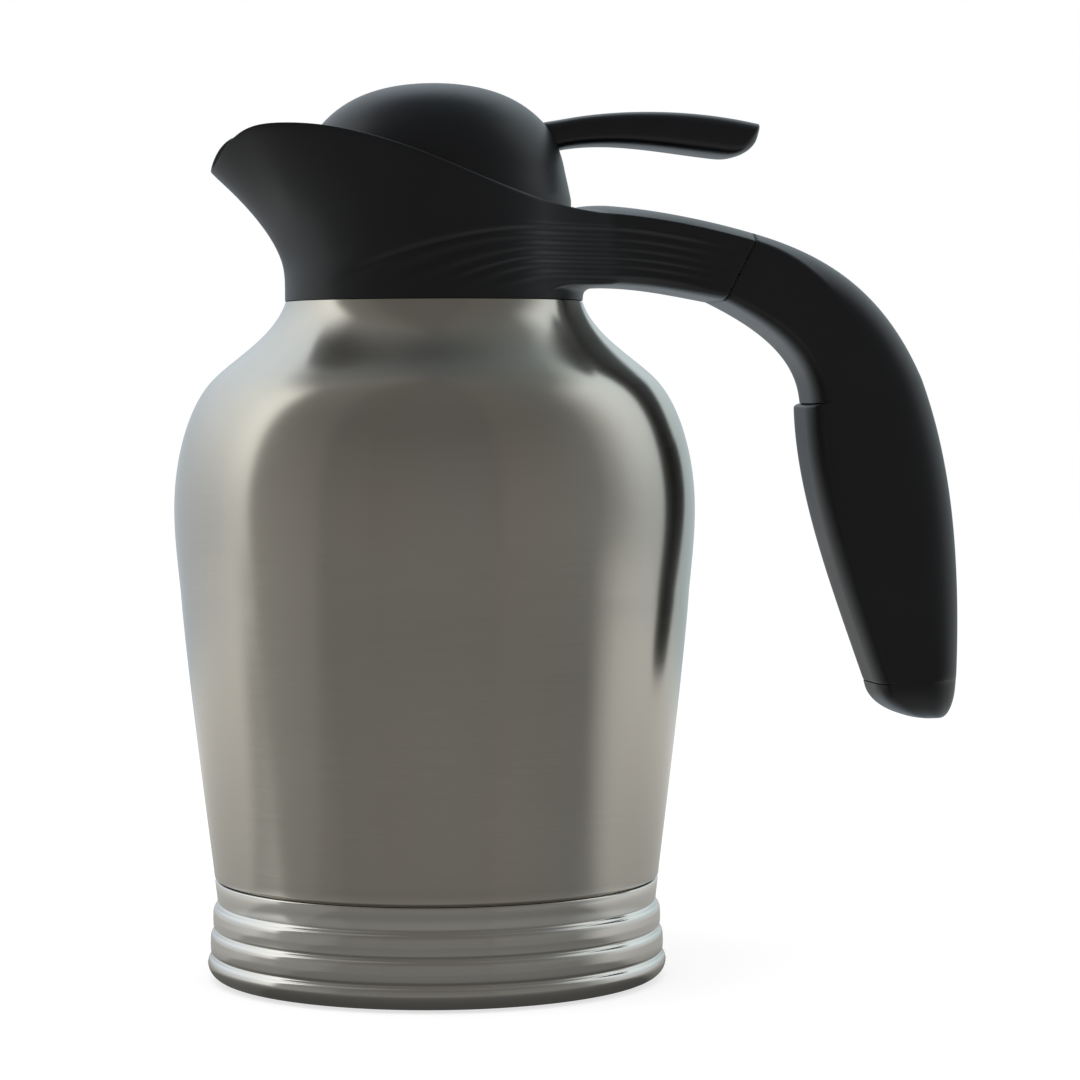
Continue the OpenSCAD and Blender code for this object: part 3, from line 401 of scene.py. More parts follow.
def finish(key):
    """Material of a finish, made once."""
    if key in FINISHES:
        return FINISHES[key]
    c = bpy.context.scene.carafe_colours
    if key == "shell":
        # Stainless steel 18/10, drawn and brushed round the axis with a belt: reflections spread up and
        # down, and fine lines run level. The real lines are finer than a pixel, so they are drawn coarser.
        made = brushed_metal("stainless_steel_belt_brushed", tuple(c.shell), roughness=0.2, stretch=0.7,
                             line_mm=0.3, long_mm=14, bump_mm=0.004, contrast=0.02, streak=0.02)
    elif key == "base":
        # Stainless steel, rolled to shape and half polished on the lathe: clearer reflections than the
        # shell's.
        made = brushed_metal("stainless_steel_turned_half_bright", tuple(c.base), roughness=0.15, stretch=0.5,
                             line_mm=0.3, long_mm=20, bump_mm=0.003, contrast=0.02, streak=0.02)
    elif key == "inner":
        # Stainless steel, electropolished: smooth and pale with faint drawing lines.
        made = brushed_metal("stainless_steel_electropolished", tuple(c.inner), roughness=0.22, stretch=0.3,
                             line_mm=0.8, long_mm=30, bump_mm=0.006, contrast=0.03)
    elif key == "screw":
        # Stainless steel screws, cold headed and passivated: small soft highlights.
        made = brushed_metal("stainless_steel_cold_headed", srgb("C4C4C6"), roughness=0.3, stretch=0.2,
                             line_mm=0.3, long_mm=3, bump_mm=0.01, contrast=0.05)
    elif key == "moulding":
        # Polypropylene, injection moulded against a fine spark-eroded tool: deep black with a satin sheen.
        made = moulded_plastic("polypropylene_satin_moulded", tuple(c.moulding), roughness=0.37,
                               grain_mm=0.28, bump_mm=0.01, ior=1.49)
    elif key == "cover":
        # Polypropylene cover of the grip, from a slightly coarser tool: a little duller where the hand lies.
        made = moulded_plastic("polypropylene_cover_moulded", tuple(c.cover), roughness=0.4,
                               grain_mm=0.35, bump_mm=0.012, ior=1.49)
    elif key == "stopper":
        # Polypropylene of the inner mouldings, plain tool finish: dark grey and matt.
        made = moulded_plastic("polypropylene_matt_moulded", tuple(c.stopper), roughness=0.5,
                               grain_mm=0.4, bump_mm=0.03)
    elif key == "pad":
        # Thermoplastic rubber pad, matt tool: nearly no highlight.
        made = moulded_plastic("thermoplastic_rubber_matt", tuple(c.pad), roughness=0.7,
                               grain_mm=0.5, bump_mm=0.06)
    elif key == "seal":
        # Silicone rubber, press moulded: pale, matt and slightly waxy.
        made = moulded_plastic("silicone_press_moulded", tuple(c.seal), roughness=0.55,
                               grain_mm=0.4, bump_mm=0.02, ior=1.42, vary=0.04)
    elif key == "foam":
        # Polyurethane foam, foamed in place: pale with open cells.
        made = moulded_plastic("polyurethane_foam_poured", tuple(c.foam), roughness=0.9,
                               grain_mm=1.1, bump_mm=0.5, ior=1.45, vary=0.08)
    else:
        raise KeyError(key)
    FINISHES[key] = made
    return made


# Flask and base

def shell_outline(s, n=20):
    half = s.flask_d / 2
    return ([(s.skirt_r, 10), (s.skirt_r, s.base_h + 0.3), (s.seat_d / 2 - 0.7, s.base_h + 0.3)]
            + bez([(s.seat_d / 2 - 0.7, s.base_h + 0.3), (s.seat_d / 2 - 0.2, s.base_h + 0.35),
                   (s.seat_d / 2 + 0.05, s.base_h + 0.6), (s.seat_d / 2 + 0.15, s.base_h + 1.2)], 4, 1)
            + bez([(s.seat_d / 2, s.base_h + 0.3), (s.seat_d / 2 + 1.9, s.base_h + 16),
                   (half - 2.7, s.widest_z - 39), (half - 1.5, s.widest_z - 21)], n, 1)
            + bez([(half - 1.5, s.widest_z - 21), (half - 0.6, s.widest_z - 12),
                   (half, s.widest_z - 7), (half, s.widest_z)], n, 1)
            + bez([(half, s.widest_z), (half, s.widest_z + 12),
                   (s.mid_r + 6.6, s.flask_h - 27.5), (s.mid_r, s.flask_h - 20.4)], 2 * n, 1)
            + bez([(s.mid_r, s.flask_h - 20.4), (s.mid_r - 5, s.flask_h - 14.9),
                   (s.neck_d / 2 + 3, s.flask_h - 9.2), (s.neck_d / 2, s.flask_h)], 2 * n, 1)
            + bez([(s.neck_out_r + 3, s.flask_h + 0.05), (s.neck_out_r + 1, s.flask_h + 0.1),
                   (s.neck_out_r, s.flask_h + 1), (s.neck_out_r, s.flask_h + 3)], 6)
            + [(s.neck_out_r, s.mouth_z - s.liner_t)])


def liner_outline(s, n=14):
    base, floor = s.seat_d / 2, s.base_h - 3
    return ([(0, floor)]
            + bez([(base - 24, floor), (base - 14, floor), (base - 8, floor + 5), (base - 7, floor + 16)], n)
            + bez([(s.liner_r - 1.4, s.widest_z - 21), (s.liner_r - 0.5, s.widest_z - 12),
                   (s.liner_r, s.widest_z - 7), (s.liner_r, s.widest_z - 2)], n)
            + bez([(s.liner_r, s.widest_z - 2), (s.liner_r, s.widest_z + 12),
                   (s.mid_r - 1, s.flask_h - 32), (s.mid_r - 7.5, s.flask_h - 24)], n, 1)
            + bez([(s.mid_r - 7.5, s.flask_h - 24), (s.mid_r - 13, s.flask_h - 17.5),
                   (s.mouth_r + s.liner_t, s.flask_h - 15), (s.mouth_r + s.liner_t, s.flask_h - 1)], n, 1)
            + [(s.mouth_r + s.liner_t, s.mouth_z - s.liner_t)])


def base_outline(s):
    def rib(i):
        top = s.rib_top - (s.rib_count - 1 - i) * s.rib_pitch
        r = s.foot_r - i * (s.foot_r - s.band_r - 0.6) / s.rib_count
        g = s.groove_t
        return ([(r - g, top + 0.05), (r - g + 0.04, top - 0.2)]
                + bez([(r - g + 0.15, top - 0.35), (r - 0.35, top - 0.6), (r - 0.17, top - 1.0),
                       (r - 0.08, top - 1.9)], 6)
                + [(r - 0.04, top - 3.3), (r, top - 3.65), (r - 0.03, top - 4.0),
                   (r - 0.08, top - s.rib_pitch + 1.3), (r - 0.18, top - s.rib_pitch + 0.75),
                   (r - 0.5, top - s.rib_pitch + 0.35)])

    lowest = [p for p in rib(0) if p[1] > s.base_round + 0.6]
    return ([(s.seat_d / 2 - 1.2, s.base_h), (s.seat_d / 2 - 0.45, s.base_h - 0.02),
             (s.seat_d / 2 - 0.15, s.base_h - 0.16), (s.seat_d / 2 - 0.02, s.base_h - 0.5),
             (s.band_r + 0.1, s.rib_top + 1.1), (s.band_r - 0.15, s.rib_top + 0.5)]
            + [p for i in range(s.rib_count - 1, 0, -1) for p in rib(i)] + lowest
            + [(s.foot_r - s.base_round * (1 - math.cos(math.radians(a))),
                s.pad_proud + s.base_round * (1 - math.sin(math.radians(a)))) for a in range(0, 91, 9)])


class CARAFE_OT_shell(bpy.types.Operator):
    """Build the outer steel shell"""

    bl_idname = "carafe.shell"
    bl_label = "Outer shell"

    def execute(self, context):
        s = sizes()
        piece = walled("shell_brushed", shell_outline(s), s.shell_t, 256)
        stand_for(piece, "flask", "brushed_shell", finish("shell"), "outer_shell")
        return {"FINISHED"}


class CARAFE_OT_vessel(bpy.types.Operator):
    """Build the inner vessel and finish what closes the vacuum"""

    bl_idname = "carafe.vessel"
    bl_label = "Inner vessel"

    def execute(self, context):
        s = sizes()
        outer = liner_outline(s)
        inner = inset(outer, s.liner_t)
        lip = bez([(s.mouth_r, s.mouth_z - 0.8), (s.mouth_r, s.mouth_z + 0.05),
                   (s.mouth_r + 0.3, s.mouth_z), (s.mouth_r + 1.2, s.mouth_z)], 6)
        profile = outer + [(s.neck_out_r, s.mouth_z - s.liner_t), (s.neck_out_r, s.mouth_z)] + lip[::-1] \
            + inner[-2::-1]
        piece = turned("vessel_inner", profile, 160)
        stand_for(piece, "flask", "inner_steel", finish("inner"), "inner_liner")
        for node in ("shell_bottom", "vacuum_seal"):
            finish_node(node, finish("inner"))
        return {"FINISHED"}


class CARAFE_OT_base(bpy.types.Operator):
    """Build the ribbed base ring and finish the plate and the pad in it"""

    bl_idname = "carafe.base"
    bl_label = "Base"

    def execute(self, context):
        s = sizes()
        inner_r = s.skirt_r + s.seat
        back = [(s.pad_d / 2 + 2, s.pad_proud), (s.pad_d / 2 + 2, s.pad_proud + 1.2),
                (s.foot_r - 5.5, s.pad_proud + 1.2), (inner_r, 6), (inner_r, s.base_h)]
        piece = turned("base_ring_ribbed", base_outline(s) + back, 256, 50)
        stand_for(piece, "flask", "base_metal", finish("base"), "base_ring")
        finish_node("base_plate", finish("stopper"))
        finish_node("foot_pad", finish("pad"))
        return {"FINISHED"}


class CARAFE_OT_neck(bpy.types.Operator):
    """Finish the ring, the seal and the screws at the flask's neck"""

    bl_idname = "carafe.neck"
    bl_label = "Neck fittings"

    def execute(self, context):
        finish_node("neck_ring", finish("stopper"))
        finish_node("collar_gasket", finish("seal"))
        finish_node("collar_screws", finish("screw"))
        return {"FINISHED"}


# Collar, spout and arm

# Each flute line leaves the collar's lower edge at FLUTE_A degrees from the spout, and over FLUTE_SPAN
# degrees it rises to FLUTE_Z above that edge, where it runs on along the arm
FLUTE_Z = [5.2, 6.4, 7.7, 9, 10, 11, 12.2, 13.5, 14.7, 15.9, 17.2, 18.5]
FLUTE_A = [96, 92, 86, 83, 77, 74, 68, 61, 52, 43, 35, 28]
FLUTE_SPAN = [40, 42, 44, 46, 50, 54, 60, 66, 72, 75, 88, 100]
# Rows below the flutes at the arm: rise above the lower edge, and share of the way out to the arm
LIP_Z = [2.7, 3.5, 3.75, 4.3]
LIP_R = [0, 0.55, 0.92, 0.98]
# Rows from the flutes up to the rim's edge, and down the inside
UPPER, INNER = 7, 6
# Rows of a column at which the arm's underside and the edge of its top begin
ROW_LOW, ROW_EDGE = 3, len(LIP_Z) + len(FLUTE_Z) + UPPER
# Columns from the spout to the arm on each side, then those across the arm in degrees from its middle
COLS = 54
ROOT_B = [20.5, 16.5, 12, 8, 4, 0, -4, -8, -12, -16.5, -20.5]
# Sections along the arm
ARM_STEPS = 18


def cosd(a):
    return math.cos(math.radians(a))


def sind(a):
    return math.sin(math.radians(a))


def rim_reach(s, a):
    turn = math.degrees(s.nose_turn)
    if a > 90 - turn:
        return s.rim_r
    if a > math.degrees(s.nose_end):
        return s.rim_r / sind(a + turn)
    return s.nose_x * cosd(a) + math.sqrt(s.nose_r ** 2 - (s.nose_x * sind(a)) ** 2)


def rise_between(low, high, share):
    return low + (high - low) * (1 - cosd(180 * share)) / 2


def rim_height(s, x, y):
    if x > s.crest_x:
        rise = rise_between(s.deck_rise, s.crest_rise, (s.collar_r - x) / (s.collar_r - s.crest_x))
    else:
        rise = rise_between(s.tip_rise, s.crest_rise, abs(y) / s.crest_y)
    return s.collar_z + rise


def flute_rise(k, a):
    low = 0.3 * (k + 1)
    t = min(max((a - FLUTE_A[k]) / FLUTE_SPAN[k], 0), 1)
    return low + (FLUTE_Z[k] - low) * sind(90 * t)


def flute_side(s, k):
    """Sideways place of a flute's line before subdivision, which evens a zigzag to a third of its depth."""
    depth = 2.6 * s.flute_t
    return depth / 3 if k % 2 else -depth * 2 / 3


def flare(t):
    return max(0.0, (t - 0.2) / 0.8) ** 1.6


def outer_r(s, a, z, rim_z):
    return s.collar_r + (rim_reach(s, a) - s.collar_r) * flare((z - s.collar_z) / (rim_z - s.collar_z))


def inner_r(s, a, z, rim_z):
    return s.bore_r + (rim_reach(s, a) - 1.5 - s.bore_r) * flare((z - s.collar_z) / (rim_z - s.collar_z))


def spread(s, b):
    return min(max((s.spread_b - b) / (s.spread_b - s.edge_b), 0), 1) ** 2.2


def edge_height(s, x, y):
    return rim_height(s, min(x, s.collar_r), y) \
        - (s.deck_rise + s.arm_crown - s.arm_top_rise) * smooth((x - s.arm_x + 18) / 18)


def deck_height(s, b, edge):
    return edge + (s.arm_top_rise + 0.7 - s.deck_rise + 0.3) * smooth((50 - b) / 44)


def around(a, side, r, z):
    return (-r * cosd(a), side * r * sind(a), z)


def rim_rows(s, a, side, r, edge, g):
    deck = deck_height(s, 180 - a, edge)
    r_in = inner_r(s, a, edge, edge)
    top = mix(edge, deck, g)
    rows = [around(a, side, mix(r - 0.5, (r + r_in) / 2, g), edge + g * (0.7 * (deck - edge) + 0.3)),
            around(a, side, r_in + 0.4, top)]
    for i in range(INNER, -1, -1):
        z = s.ledge_top + (top - 0.4 - s.ledge_top) * i / INNER
        rows.append(around(a, side, inner_r(s, a, z, edge), z))
    rows.append(around(a, side, s.bore_r, s.collar_z + 1.2))
    rows.append(around(a, side, s.bore_r, s.collar_z))
    return rows


def column(s, a, side):
    b = 180 - a
    wide = spread(s, b) * (s.arm_x / cosd(s.edge_b) - s.collar_r)
    g = smooth(spread(s, b) * 1.6)
    reach = rim_reach(s, a) + wide
    edge = edge_height(s, -reach * cosd(a), reach * sind(a))
    rows = [around(a, side, s.collar_r, s.collar_z)]
    for k in range(len(LIP_Z)):
        low = 0.06 * (k + 1) + 0.25
        rows.append(around(a, side, s.collar_r + LIP_R[k] * wide,
                           s.collar_z + low + (LIP_Z[k] - low) * smooth((62 - b) / 24)))
    for k in range(len(FLUTE_Z)):
        rise = flute_rise(k, a)
        z = s.collar_z + max(rise, 0.6 + 0.25 * k)
        side_way = flute_side(s, k) * smooth((a - FLUTE_A[k] - 4) / 24)
        rows.append(around(a, side, outer_r(s, a, z, edge) + wide + side_way, z))
    first = s.collar_z + max(flute_rise(11, a), 0.6 + 0.25 * 11)
    for i in range(1, UPPER + 1):
        z = first + (edge - 0.45 * (1 - g) - first) * i / UPPER
        rows.append(around(a, side, outer_r(s, a, z, edge) + wide, z))
    return rows + rim_rows(s, a, side, outer_r(s, a, edge, edge) + wide, edge, g)


def root_column(s, b):
    r = s.arm_x / cosd(b)
    share = math.tan(math.radians(b)) / math.tan(math.radians(s.edge_b))
    top = s.collar_z + s.arm_top_rise - s.arm_crown * share ** 2
    low = s.collar_z + s.arm_low_rise
    edge = s.collar_z + s.arm_top_rise - s.arm_crown
    deck = deck_height(s, abs(b), edge)
    at = 180 - b
    rows = [around(at, -1, s.collar_r, s.collar_z), around(at, -1, s.collar_r, s.collar_z + LIP_Z[0]),
            around(at, -1, (s.collar_r + r) / 2, s.collar_z + LIP_Z[1]), around(at, -1, r, low)]
    rows += [None] * (ROW_EDGE - 1 - ROW_LOW)
    rows += [around(at, -1, r, top), around(at, -1, (r + s.bore_r) / 2, (top + deck) / 2 + 0.2),
             around(at, -1, s.bore_r + 0.4, deck)]
    rows += [around(at, -1, s.bore_r, s.ledge_top + (deck - 0.4 - s.ledge_top) * i / INNER)
             for i in range(INNER, -1, -1)]
    return rows + [around(at, -1, s.bore_r, s.collar_z + 1.2), around(at, -1, s.bore_r, s.collar_z)]


def arm_lines(s):
    """Top, underside and half width of the arm."""
    def z(rise):
        return s.collar_z + rise
    top = [(s.arm_x, z(s.arm_top_rise)), (s.arm_x + 11, z(24.5)), (s.part_x - 4, z(21.9)),
           (s.part_x + 9.5, z(18.1))]
    low = [(s.arm_x, z(s.arm_low_rise)), (s.arm_x + 10, z(3.9)), (s.part_x - 12, z(2.2)),
           (s.part_x, z(-0.1))]
    wide = [(s.arm_w,), (s.arm_w - 4.4,), (s.grip_w / 2 + 0.7,), (s.grip_w / 2 + 0.3,)]
    return top, low, wide


def in_station(station, y, d):
    (tx, tz), (lx, lz) = station[0], station[1]
    deep = math.hypot(lx - tx, lz - tz)
    return (tx + (lx - tx) / deep * d, y, tz + (lz - tz) / deep * d)


def arm_ring(s, station, fade):
    deep = math.hypot(station[0][0] - station[1][0], station[0][1] - station[1][1])
    w = station[2]
    share = (deep - FLUTE_Z[0] + s.arm_low_rise - s.arm_crown) / (s.arm_top_rise - s.arm_crown - FLUTE_Z[0])
    def row(z):
        return s.arm_crown + (s.arm_top_rise - s.arm_crown - z) * share
    side = [(w - 2.6, deep - 0.15), (w - 1.0, deep - 0.75)]
    side += [(w + flute_side(s, k) * fade, row(FLUTE_Z[k])) for k in range(len(FLUTE_Z))]
    side += [(w, row(FLUTE_Z[11] + (s.arm_top_rise - s.arm_crown - FLUTE_Z[11]) * i / UPPER))
             for i in range(1, UPPER + 1)]
    across = [math.tan(math.radians(b)) / math.tan(math.radians(s.edge_b)) for b in ROOT_B]
    return ([in_station(station, -p[0], p[1]) for p in side]
            + [in_station(station, -w * y, s.arm_crown * y * y) for y in across]
            + [in_station(station, p[0], p[1]) for p in side[::-1]]
            + [in_station(station, -(w - 2.6) * y, deep) for y in across[::-1]])


def collar_mesh(s):
    """Collar, spout and arm in one skin: the arm's first section is the edge of the opening left for it."""
    def azimuth(i):
        return (180 - s.edge_b) * (i / COLS) ** 1.12
    cols = ([column(s, azimuth(i), -1) for i in range(COLS + 1)] + [root_column(s, b) for b in ROOT_B]
            + [column(s, azimuth(i), 1) for i in range(COLS, 0, -1)])
    n, m = len(cols[0]), len(cols)
    points, place = [], {}
    for i, col in enumerate(cols):
        for j, p in enumerate(col):
            if p is not None:
                place[i, j] = len(points)
                points.append(p)
    first, last = COLS, COLS + len(ROOT_B) + 1
    faces, weights = [], {}

    def edge(a, b, w):
        weights[tuple(sorted((a, b)))] = w

    for i in range(m):
        k = (i + 1) % m
        for j in range(n):
            if i < first or i >= last or j < ROW_LOW or j >= ROW_EDGE:
                faces.append([place[i, j], place[i, (j + 1) % n], place[k, (j + 1) % n], place[k, j]])
        edge(place[i, 0], place[k, 0], HARD)
        edge(place[i, n - 1], place[k, n - 1], HARD)
    hole = ([place[first, j] for j in range(ROW_LOW, ROW_EDGE + 1)]
            + [place[i, ROW_EDGE] for i in range(first + 1, last)]
            + [place[last, j] for j in range(ROW_EDGE, ROW_LOW - 1, -1)]
            + [place[i, ROW_LOW] for i in range(last - 1, first, -1)])
    top, low, wide = arm_lines(s)
    loops = [hole]
    for i in range(1, ARM_STEPS + 1):
        t = i / ARM_STEPS
        ring = arm_ring(s, (bez_at(top, t), bez_at(low, t), bez_at(wide, t)[0]), smooth((1 - t) * 1.7))
        loops.append(range(len(points), len(points) + len(ring)))
        points += ring
    q = len(hole)
    rows = ROW_EDGE - ROW_LOW
    for i in range(ARM_STEPS):
        t = i / ARM_STEPS
        a, b = loops[i], loops[i + 1]
        for j in range(q):
            faces.append([a[j], a[(j + 1) % q], b[(j + 1) % q], b[j]])
        for j in (rows, rows + len(ROOT_B) + 1):
            edge(a[j], b[j], mix(0.75, 0.25, t))
    for i in list(range(first - 14, first)) + list(range(last, last + 14)):
        g = 1 - min(abs(i - first), abs(i - last + 1)) / 14
        edge(place[i, ROW_EDGE], place[(i + 1) % m, ROW_EDGE], 0.75 * smooth(g))
    end = loops[-1]
    for j in range(q):
        edge(end[j], end[(j + 1) % q], 0.9)
    faces.append(list(end))
    return points, faces, weights


class CARAFE_OT_collar(bpy.types.Operator):
    """Build the collar with the spout and the handle's arm"""

    bl_idname = "carafe.collar"
    bl_label = "Collar, spout and arm"

    def execute(self, context):
        s = sizes()
        points, faces, weights = collar_mesh(s)
        piece = new_mesh("collar_spout_arm", points, faces, None)
        crease(piece, weights)
        subdivide(piece, 2)
        stand_for(piece, "flask", "black_moulding", finish("moulding"), "collar_spout")
        return {"FINISHED"}


# Grip

def handle_lines(s):
    def z(rise):
        return s.collar_z + rise
    return SimpleNamespace(
        bend_top=[(s.part_x + 9.5, z(18.1)), (s.part_x + 27, z(13.3)), (s.back_x - 21.5, z(5.3)),
                  (s.back_x - 10.2, z(-20.2))],
        bend_low=[(s.part_x, z(-0.1)), (s.part_x + 11.5, z(-5.7)), (s.grip_x + 0.6, z(-13.8)),
                  (s.grip_x + 1.5, z(-26.9))],
        grip_top=[(s.back_x - 10.2, z(-20.2)), (s.back_x - 2, z(-41.7)), (s.back_x + 1.1, s.end_z + 43.3),
                  (s.back_x - 0.6, s.end_z + 10.8)],
        grip_low=[(s.grip_x - 0.1, z(-27.2)), (s.grip_x + 0.3, z(-50.7)), (s.grip_x + 10, s.end_z + 35.3),
                  (s.grip_x + 19, s.end_z + 9.8)])


def round_w(station):
    """Width of the rounding of a section's front edges; its depth is the station's last value."""
    return min(station[4] * 2, station[2] * 0.6)


# First point of a half section's front edge
FRONT = 12


def grip_half(s, station):
    deep = math.hypot(station[0][0] - station[1][0], station[0][1] - station[1][1])
    w, b, edge = station[2:5]
    crown, back = min(s.arm_crown, deep * 0.3), min(13, deep * 0.45)
    half = [(mix(w * a / 90, w * sind(a), b), mix(crown * (a / 90) ** 2, back * (1 - cosd(a)), b))
            for a in range(0, 91, 10)]
    half += [(mix(w, w * (1 - 0.08 * k), b),
              mix(crown + (deep - 2.6 - crown) * k, back + (deep - edge - back) * k, b))
             for k in (0.33, 0.67, 1)]
    half += [(mix(w - 5 * (1 - cosd(a)), w * 0.92 - round_w(station) * (1 - cosd(a)), b),
              mix(deep - 2.6 * (1 - sind(a)), deep - edge * (1 - sind(a)), b))
             for a in range(15, 91, 15)]
    return half


def grip_ring(s, station):
    half = grip_half(s, station)
    return ([in_station(station, -p[0], p[1]) for p in half]
            + [in_station(station, half[i][0], half[i][1]) for i in range(len(half) - 1, 0, -1)])


def loft(name, rings, cap=0.9, sharp=None):
    """Skin through rings, with flat ends, and the crease weights of those ends."""
    points = [p for ring in rings for p in ring]
    n, m = len(rings[0]), len(rings)
    faces = [[i * n + j, i * n + (j + 1) % n, (i + 1) * n + (j + 1) % n, (i + 1) * n + j]
             for i in range(m - 1) for j in range(n)]
    faces += [list(range(n - 1, -1, -1)), [(m - 1) * n + j for j in range(n)]]
    piece = new_mesh(name, points, faces, sharp)
    weights = {}
    for base in (0, (m - 1) * n):
        for j in range(n):
            weights[tuple(sorted((base + j, base + (j + 1) % n)))] = cap
    return piece, weights


class CARAFE_OT_grip(bpy.types.Operator):
    """Build the grip and its cover, and finish its screws"""

    bl_idname = "carafe.grip"
    bl_label = "Grip"

    def execute(self, context):
        s = sizes()
        h = handle_lines(s)
        front = s.insert_t - 0.1

        def bend(t):
            return (bez_at(h.bend_top, t), bez_at(h.bend_low, t), s.grip_w / 2 + 0.45 * (1 - t),
                    smooth(t * 1.2), front)

        def grip(t, cut):
            o, i = Vector(bez_at(h.grip_top, t)), Vector(bez_at(h.grip_low, t))
            return (o, i + (o - i).normalized() * cut, s.grip_w / 2 - t * t, 1, 0.03 if cut else front)

        def end(a):
            o = (h.grip_top[3][0] - 4 * (1 - cosd(a)), h.grip_top[3][1] - 10.6 * sind(a))
            i = (h.grip_low[3][0] + 15 * (1 - cosd(a)), h.grip_low[3][1] - 9.8 * sind(a))
            return (o, i, (s.grip_w / 2 - 1) * cosd(a * 0.72), 1,
                    min(front, math.hypot(o[0] - i[0], o[1] - i[1]) * 0.25))

        def cover_t(share):
            """Place along the grip's lines: the cover begins a little below the bend."""
            return 0.006 + 0.994 * share

        bends, grips = 20, 18
        rings = ([grip_ring(s, bend(i / bends)) for i in range(bends + 1)]
                 + [grip_ring(s, grip(cover_t(i / grips), s.insert_t)) for i in range(grips + 1)]
                 + [grip_ring(s, end(a)) for a in (1, 14, 28, 42, 56, 70, 82, 90)])
        piece, weights = loft("grip_moulded", rings, 0.3)
        n = len(rings[0])
        for j in range(n):
            weights[tuple(sorted((j, (j + 1) % n)))] = HARD
        # The crisp edge of the arm's crowned top fades out over the first part of the bend
        for i in range(bends // 3):
            for j in (9, n - 9):
                weights[i * n + j, (i + 1) * n + j] = 0.25 * (1 - 3 * i / bends)
        # Ledges at both ends of the cover, and the hard edges along its sides
        for i in (bends, bends + 1, bends + grips + 1, bends + grips + 2):
            for j in range(FRONT, n - FRONT):
                weights[i * n + j, i * n + j + 1] = 1.0
        for i in range(bends + 1, bends + grips + 1):
            for j in (FRONT, n - FRONT):
                weights[i * n + j, (i + 1) * n + j] = 1.0
        crease(piece, weights)
        subdivide(piece, 2)
        stand_for(piece, "flask", "black_moulding", finish("moulding"), "handle_grip")

        def cover_ring(t, drop):
            station = grip(t, 0)
            o, i = Vector(station[0]), Vector(station[1])
            up = (o - i).normalized()
            w = station[2] * 0.92
            half = [(w, s.insert_t)]
            half += [(w - drop * 0.4 - round_w(station) * (1 - cosd(a)),
                      front * (1 - sind(a)) + drop * sind(a)) for a in range(0, 91, 6)]
            flat = [(i.x + up.x * d, y, i.y + up.y * d) for y, d in half]
            return [(x, -y, z) for x, y, z in flat] + flat[::-1]

        # The cover's edges are rounded at both ends, as (distance from the end, depth) in millimetres
        cover_h = 74.0
        ends = [(0, 0.7), (0.08, 0.4), (0.25, 0.15), (0.55, 0.03), (0.9, 0)]
        steps = ([(t / cover_h, d) for t, d in ends] + [(i / 40, 0) for i in range(1, 40)]
                 + [(1 - t / cover_h, d * 0.3) for t, d in ends[::-1]])
        piece, _ = loft("grip_cover", [cover_ring(cover_t(t), d) for t, d in steps], sharp=40.0)
        stand_for(piece, "flask", "grip_cover", finish("cover"), "grip_insert")
        finish_node("handle_screws", finish("screw"))
        return {"FINISHED"}


# Stopper and lid

class CARAFE_OT_stopper(bpy.types.Operator):
    """Finish the stopper with its seal, hinge pin and spring"""

    bl_idname = "carafe.stopper"
    bl_label = "Stopper"

    def execute(self, context):
        finish_node("stopper_ring", finish("stopper"))
        finish_node("stopper_gasket", finish("seal"))
        finish_node("hinge_pin", finish("screw"))
        finish_node("return_spring", finish("screw"))
        return {"FINISHED"}


def dome_outline(s, n=4):
    r, top = s.dome_r, s.dome_top
    return ([(r, s.dome_z), (r, top - 30.2)]
            + bez([(r, top - 30.2), (r - 0.6, top - 27), (r - 1.1, top - 25), (r - 1.6, top - 22.6)],
                  2 * n, 1)
            + bez([(r - 1.6, top - 22.6), (r - 2.3, top - 18.5), (r - 4, top - 13.4), (r - 7.4, top - 9.8)],
                  6 * n, 1)
            + bez([(r - 7.4, top - 9.8), (r - 13.6, top - 3.3), (13, top), (0, top)], 12 * n, 1))


class CARAFE_OT_lid(bpy.types.Operator):
    """Build the domed lid and finish what is inside it"""

    bl_idname = "carafe.lid"
    bl_label = "Lid"

    def execute(self, context):
        s = sizes()
        piece = walled("lid_dome_moulded", dome_outline(s), s.dome_t)
        stand_for(piece, "lid", "black_moulding", finish("moulding"), "lid_dome")
        finish_node("lid_plug", finish("stopper"))
        finish_node("lid_foam", finish("foam"))
        finish_node("plug_gasket", finish("seal"))
        finish_node("lid_screws", finish("screw"))
        return {"FINISHED"}


# Outline of a screw from its recess to its tip, and how far the two stand from the middle
SCREW_OUTLINE = [(0.5, -0.5), (0.6, -1), (1.5, -1), (1.7, -0.93), (1.8, -0.75), (1.8, 0),
                 (0.95, 0.05), (0.95, 4.7), (0.7, 5.1)]
SCREW_Y = 4


def lever_screws(s, steps=24):
    """Two screws in the lever's root, whose chamfered tips end under the dome's skin."""
    points, faces = [], []
    for y in (-SCREW_Y, SCREW_Y):
        rings = []
        for r, z in SCREW_OUTLINE:
            rings.append(len(points))
            points += [(s.lever_root_x + 3 + r * cosd(360 * k / steps), y + r * sind(360 * k / steps),
                        s.lever_z - s.seat + z) for k in range(steps)]
        faces += [[a + k, a + (k + 1) % steps, b + (k + 1) % steps, b + k]
                  for a, b in zip(rings, rings[1:]) for k in range(steps)]
        faces += [[rings[0] + k for k in range(steps - 1, -1, -1)], [rings[-1] + k for k in range(steps)]]
    return new_mesh("lever_screws_cold_headed", points, faces, 30)


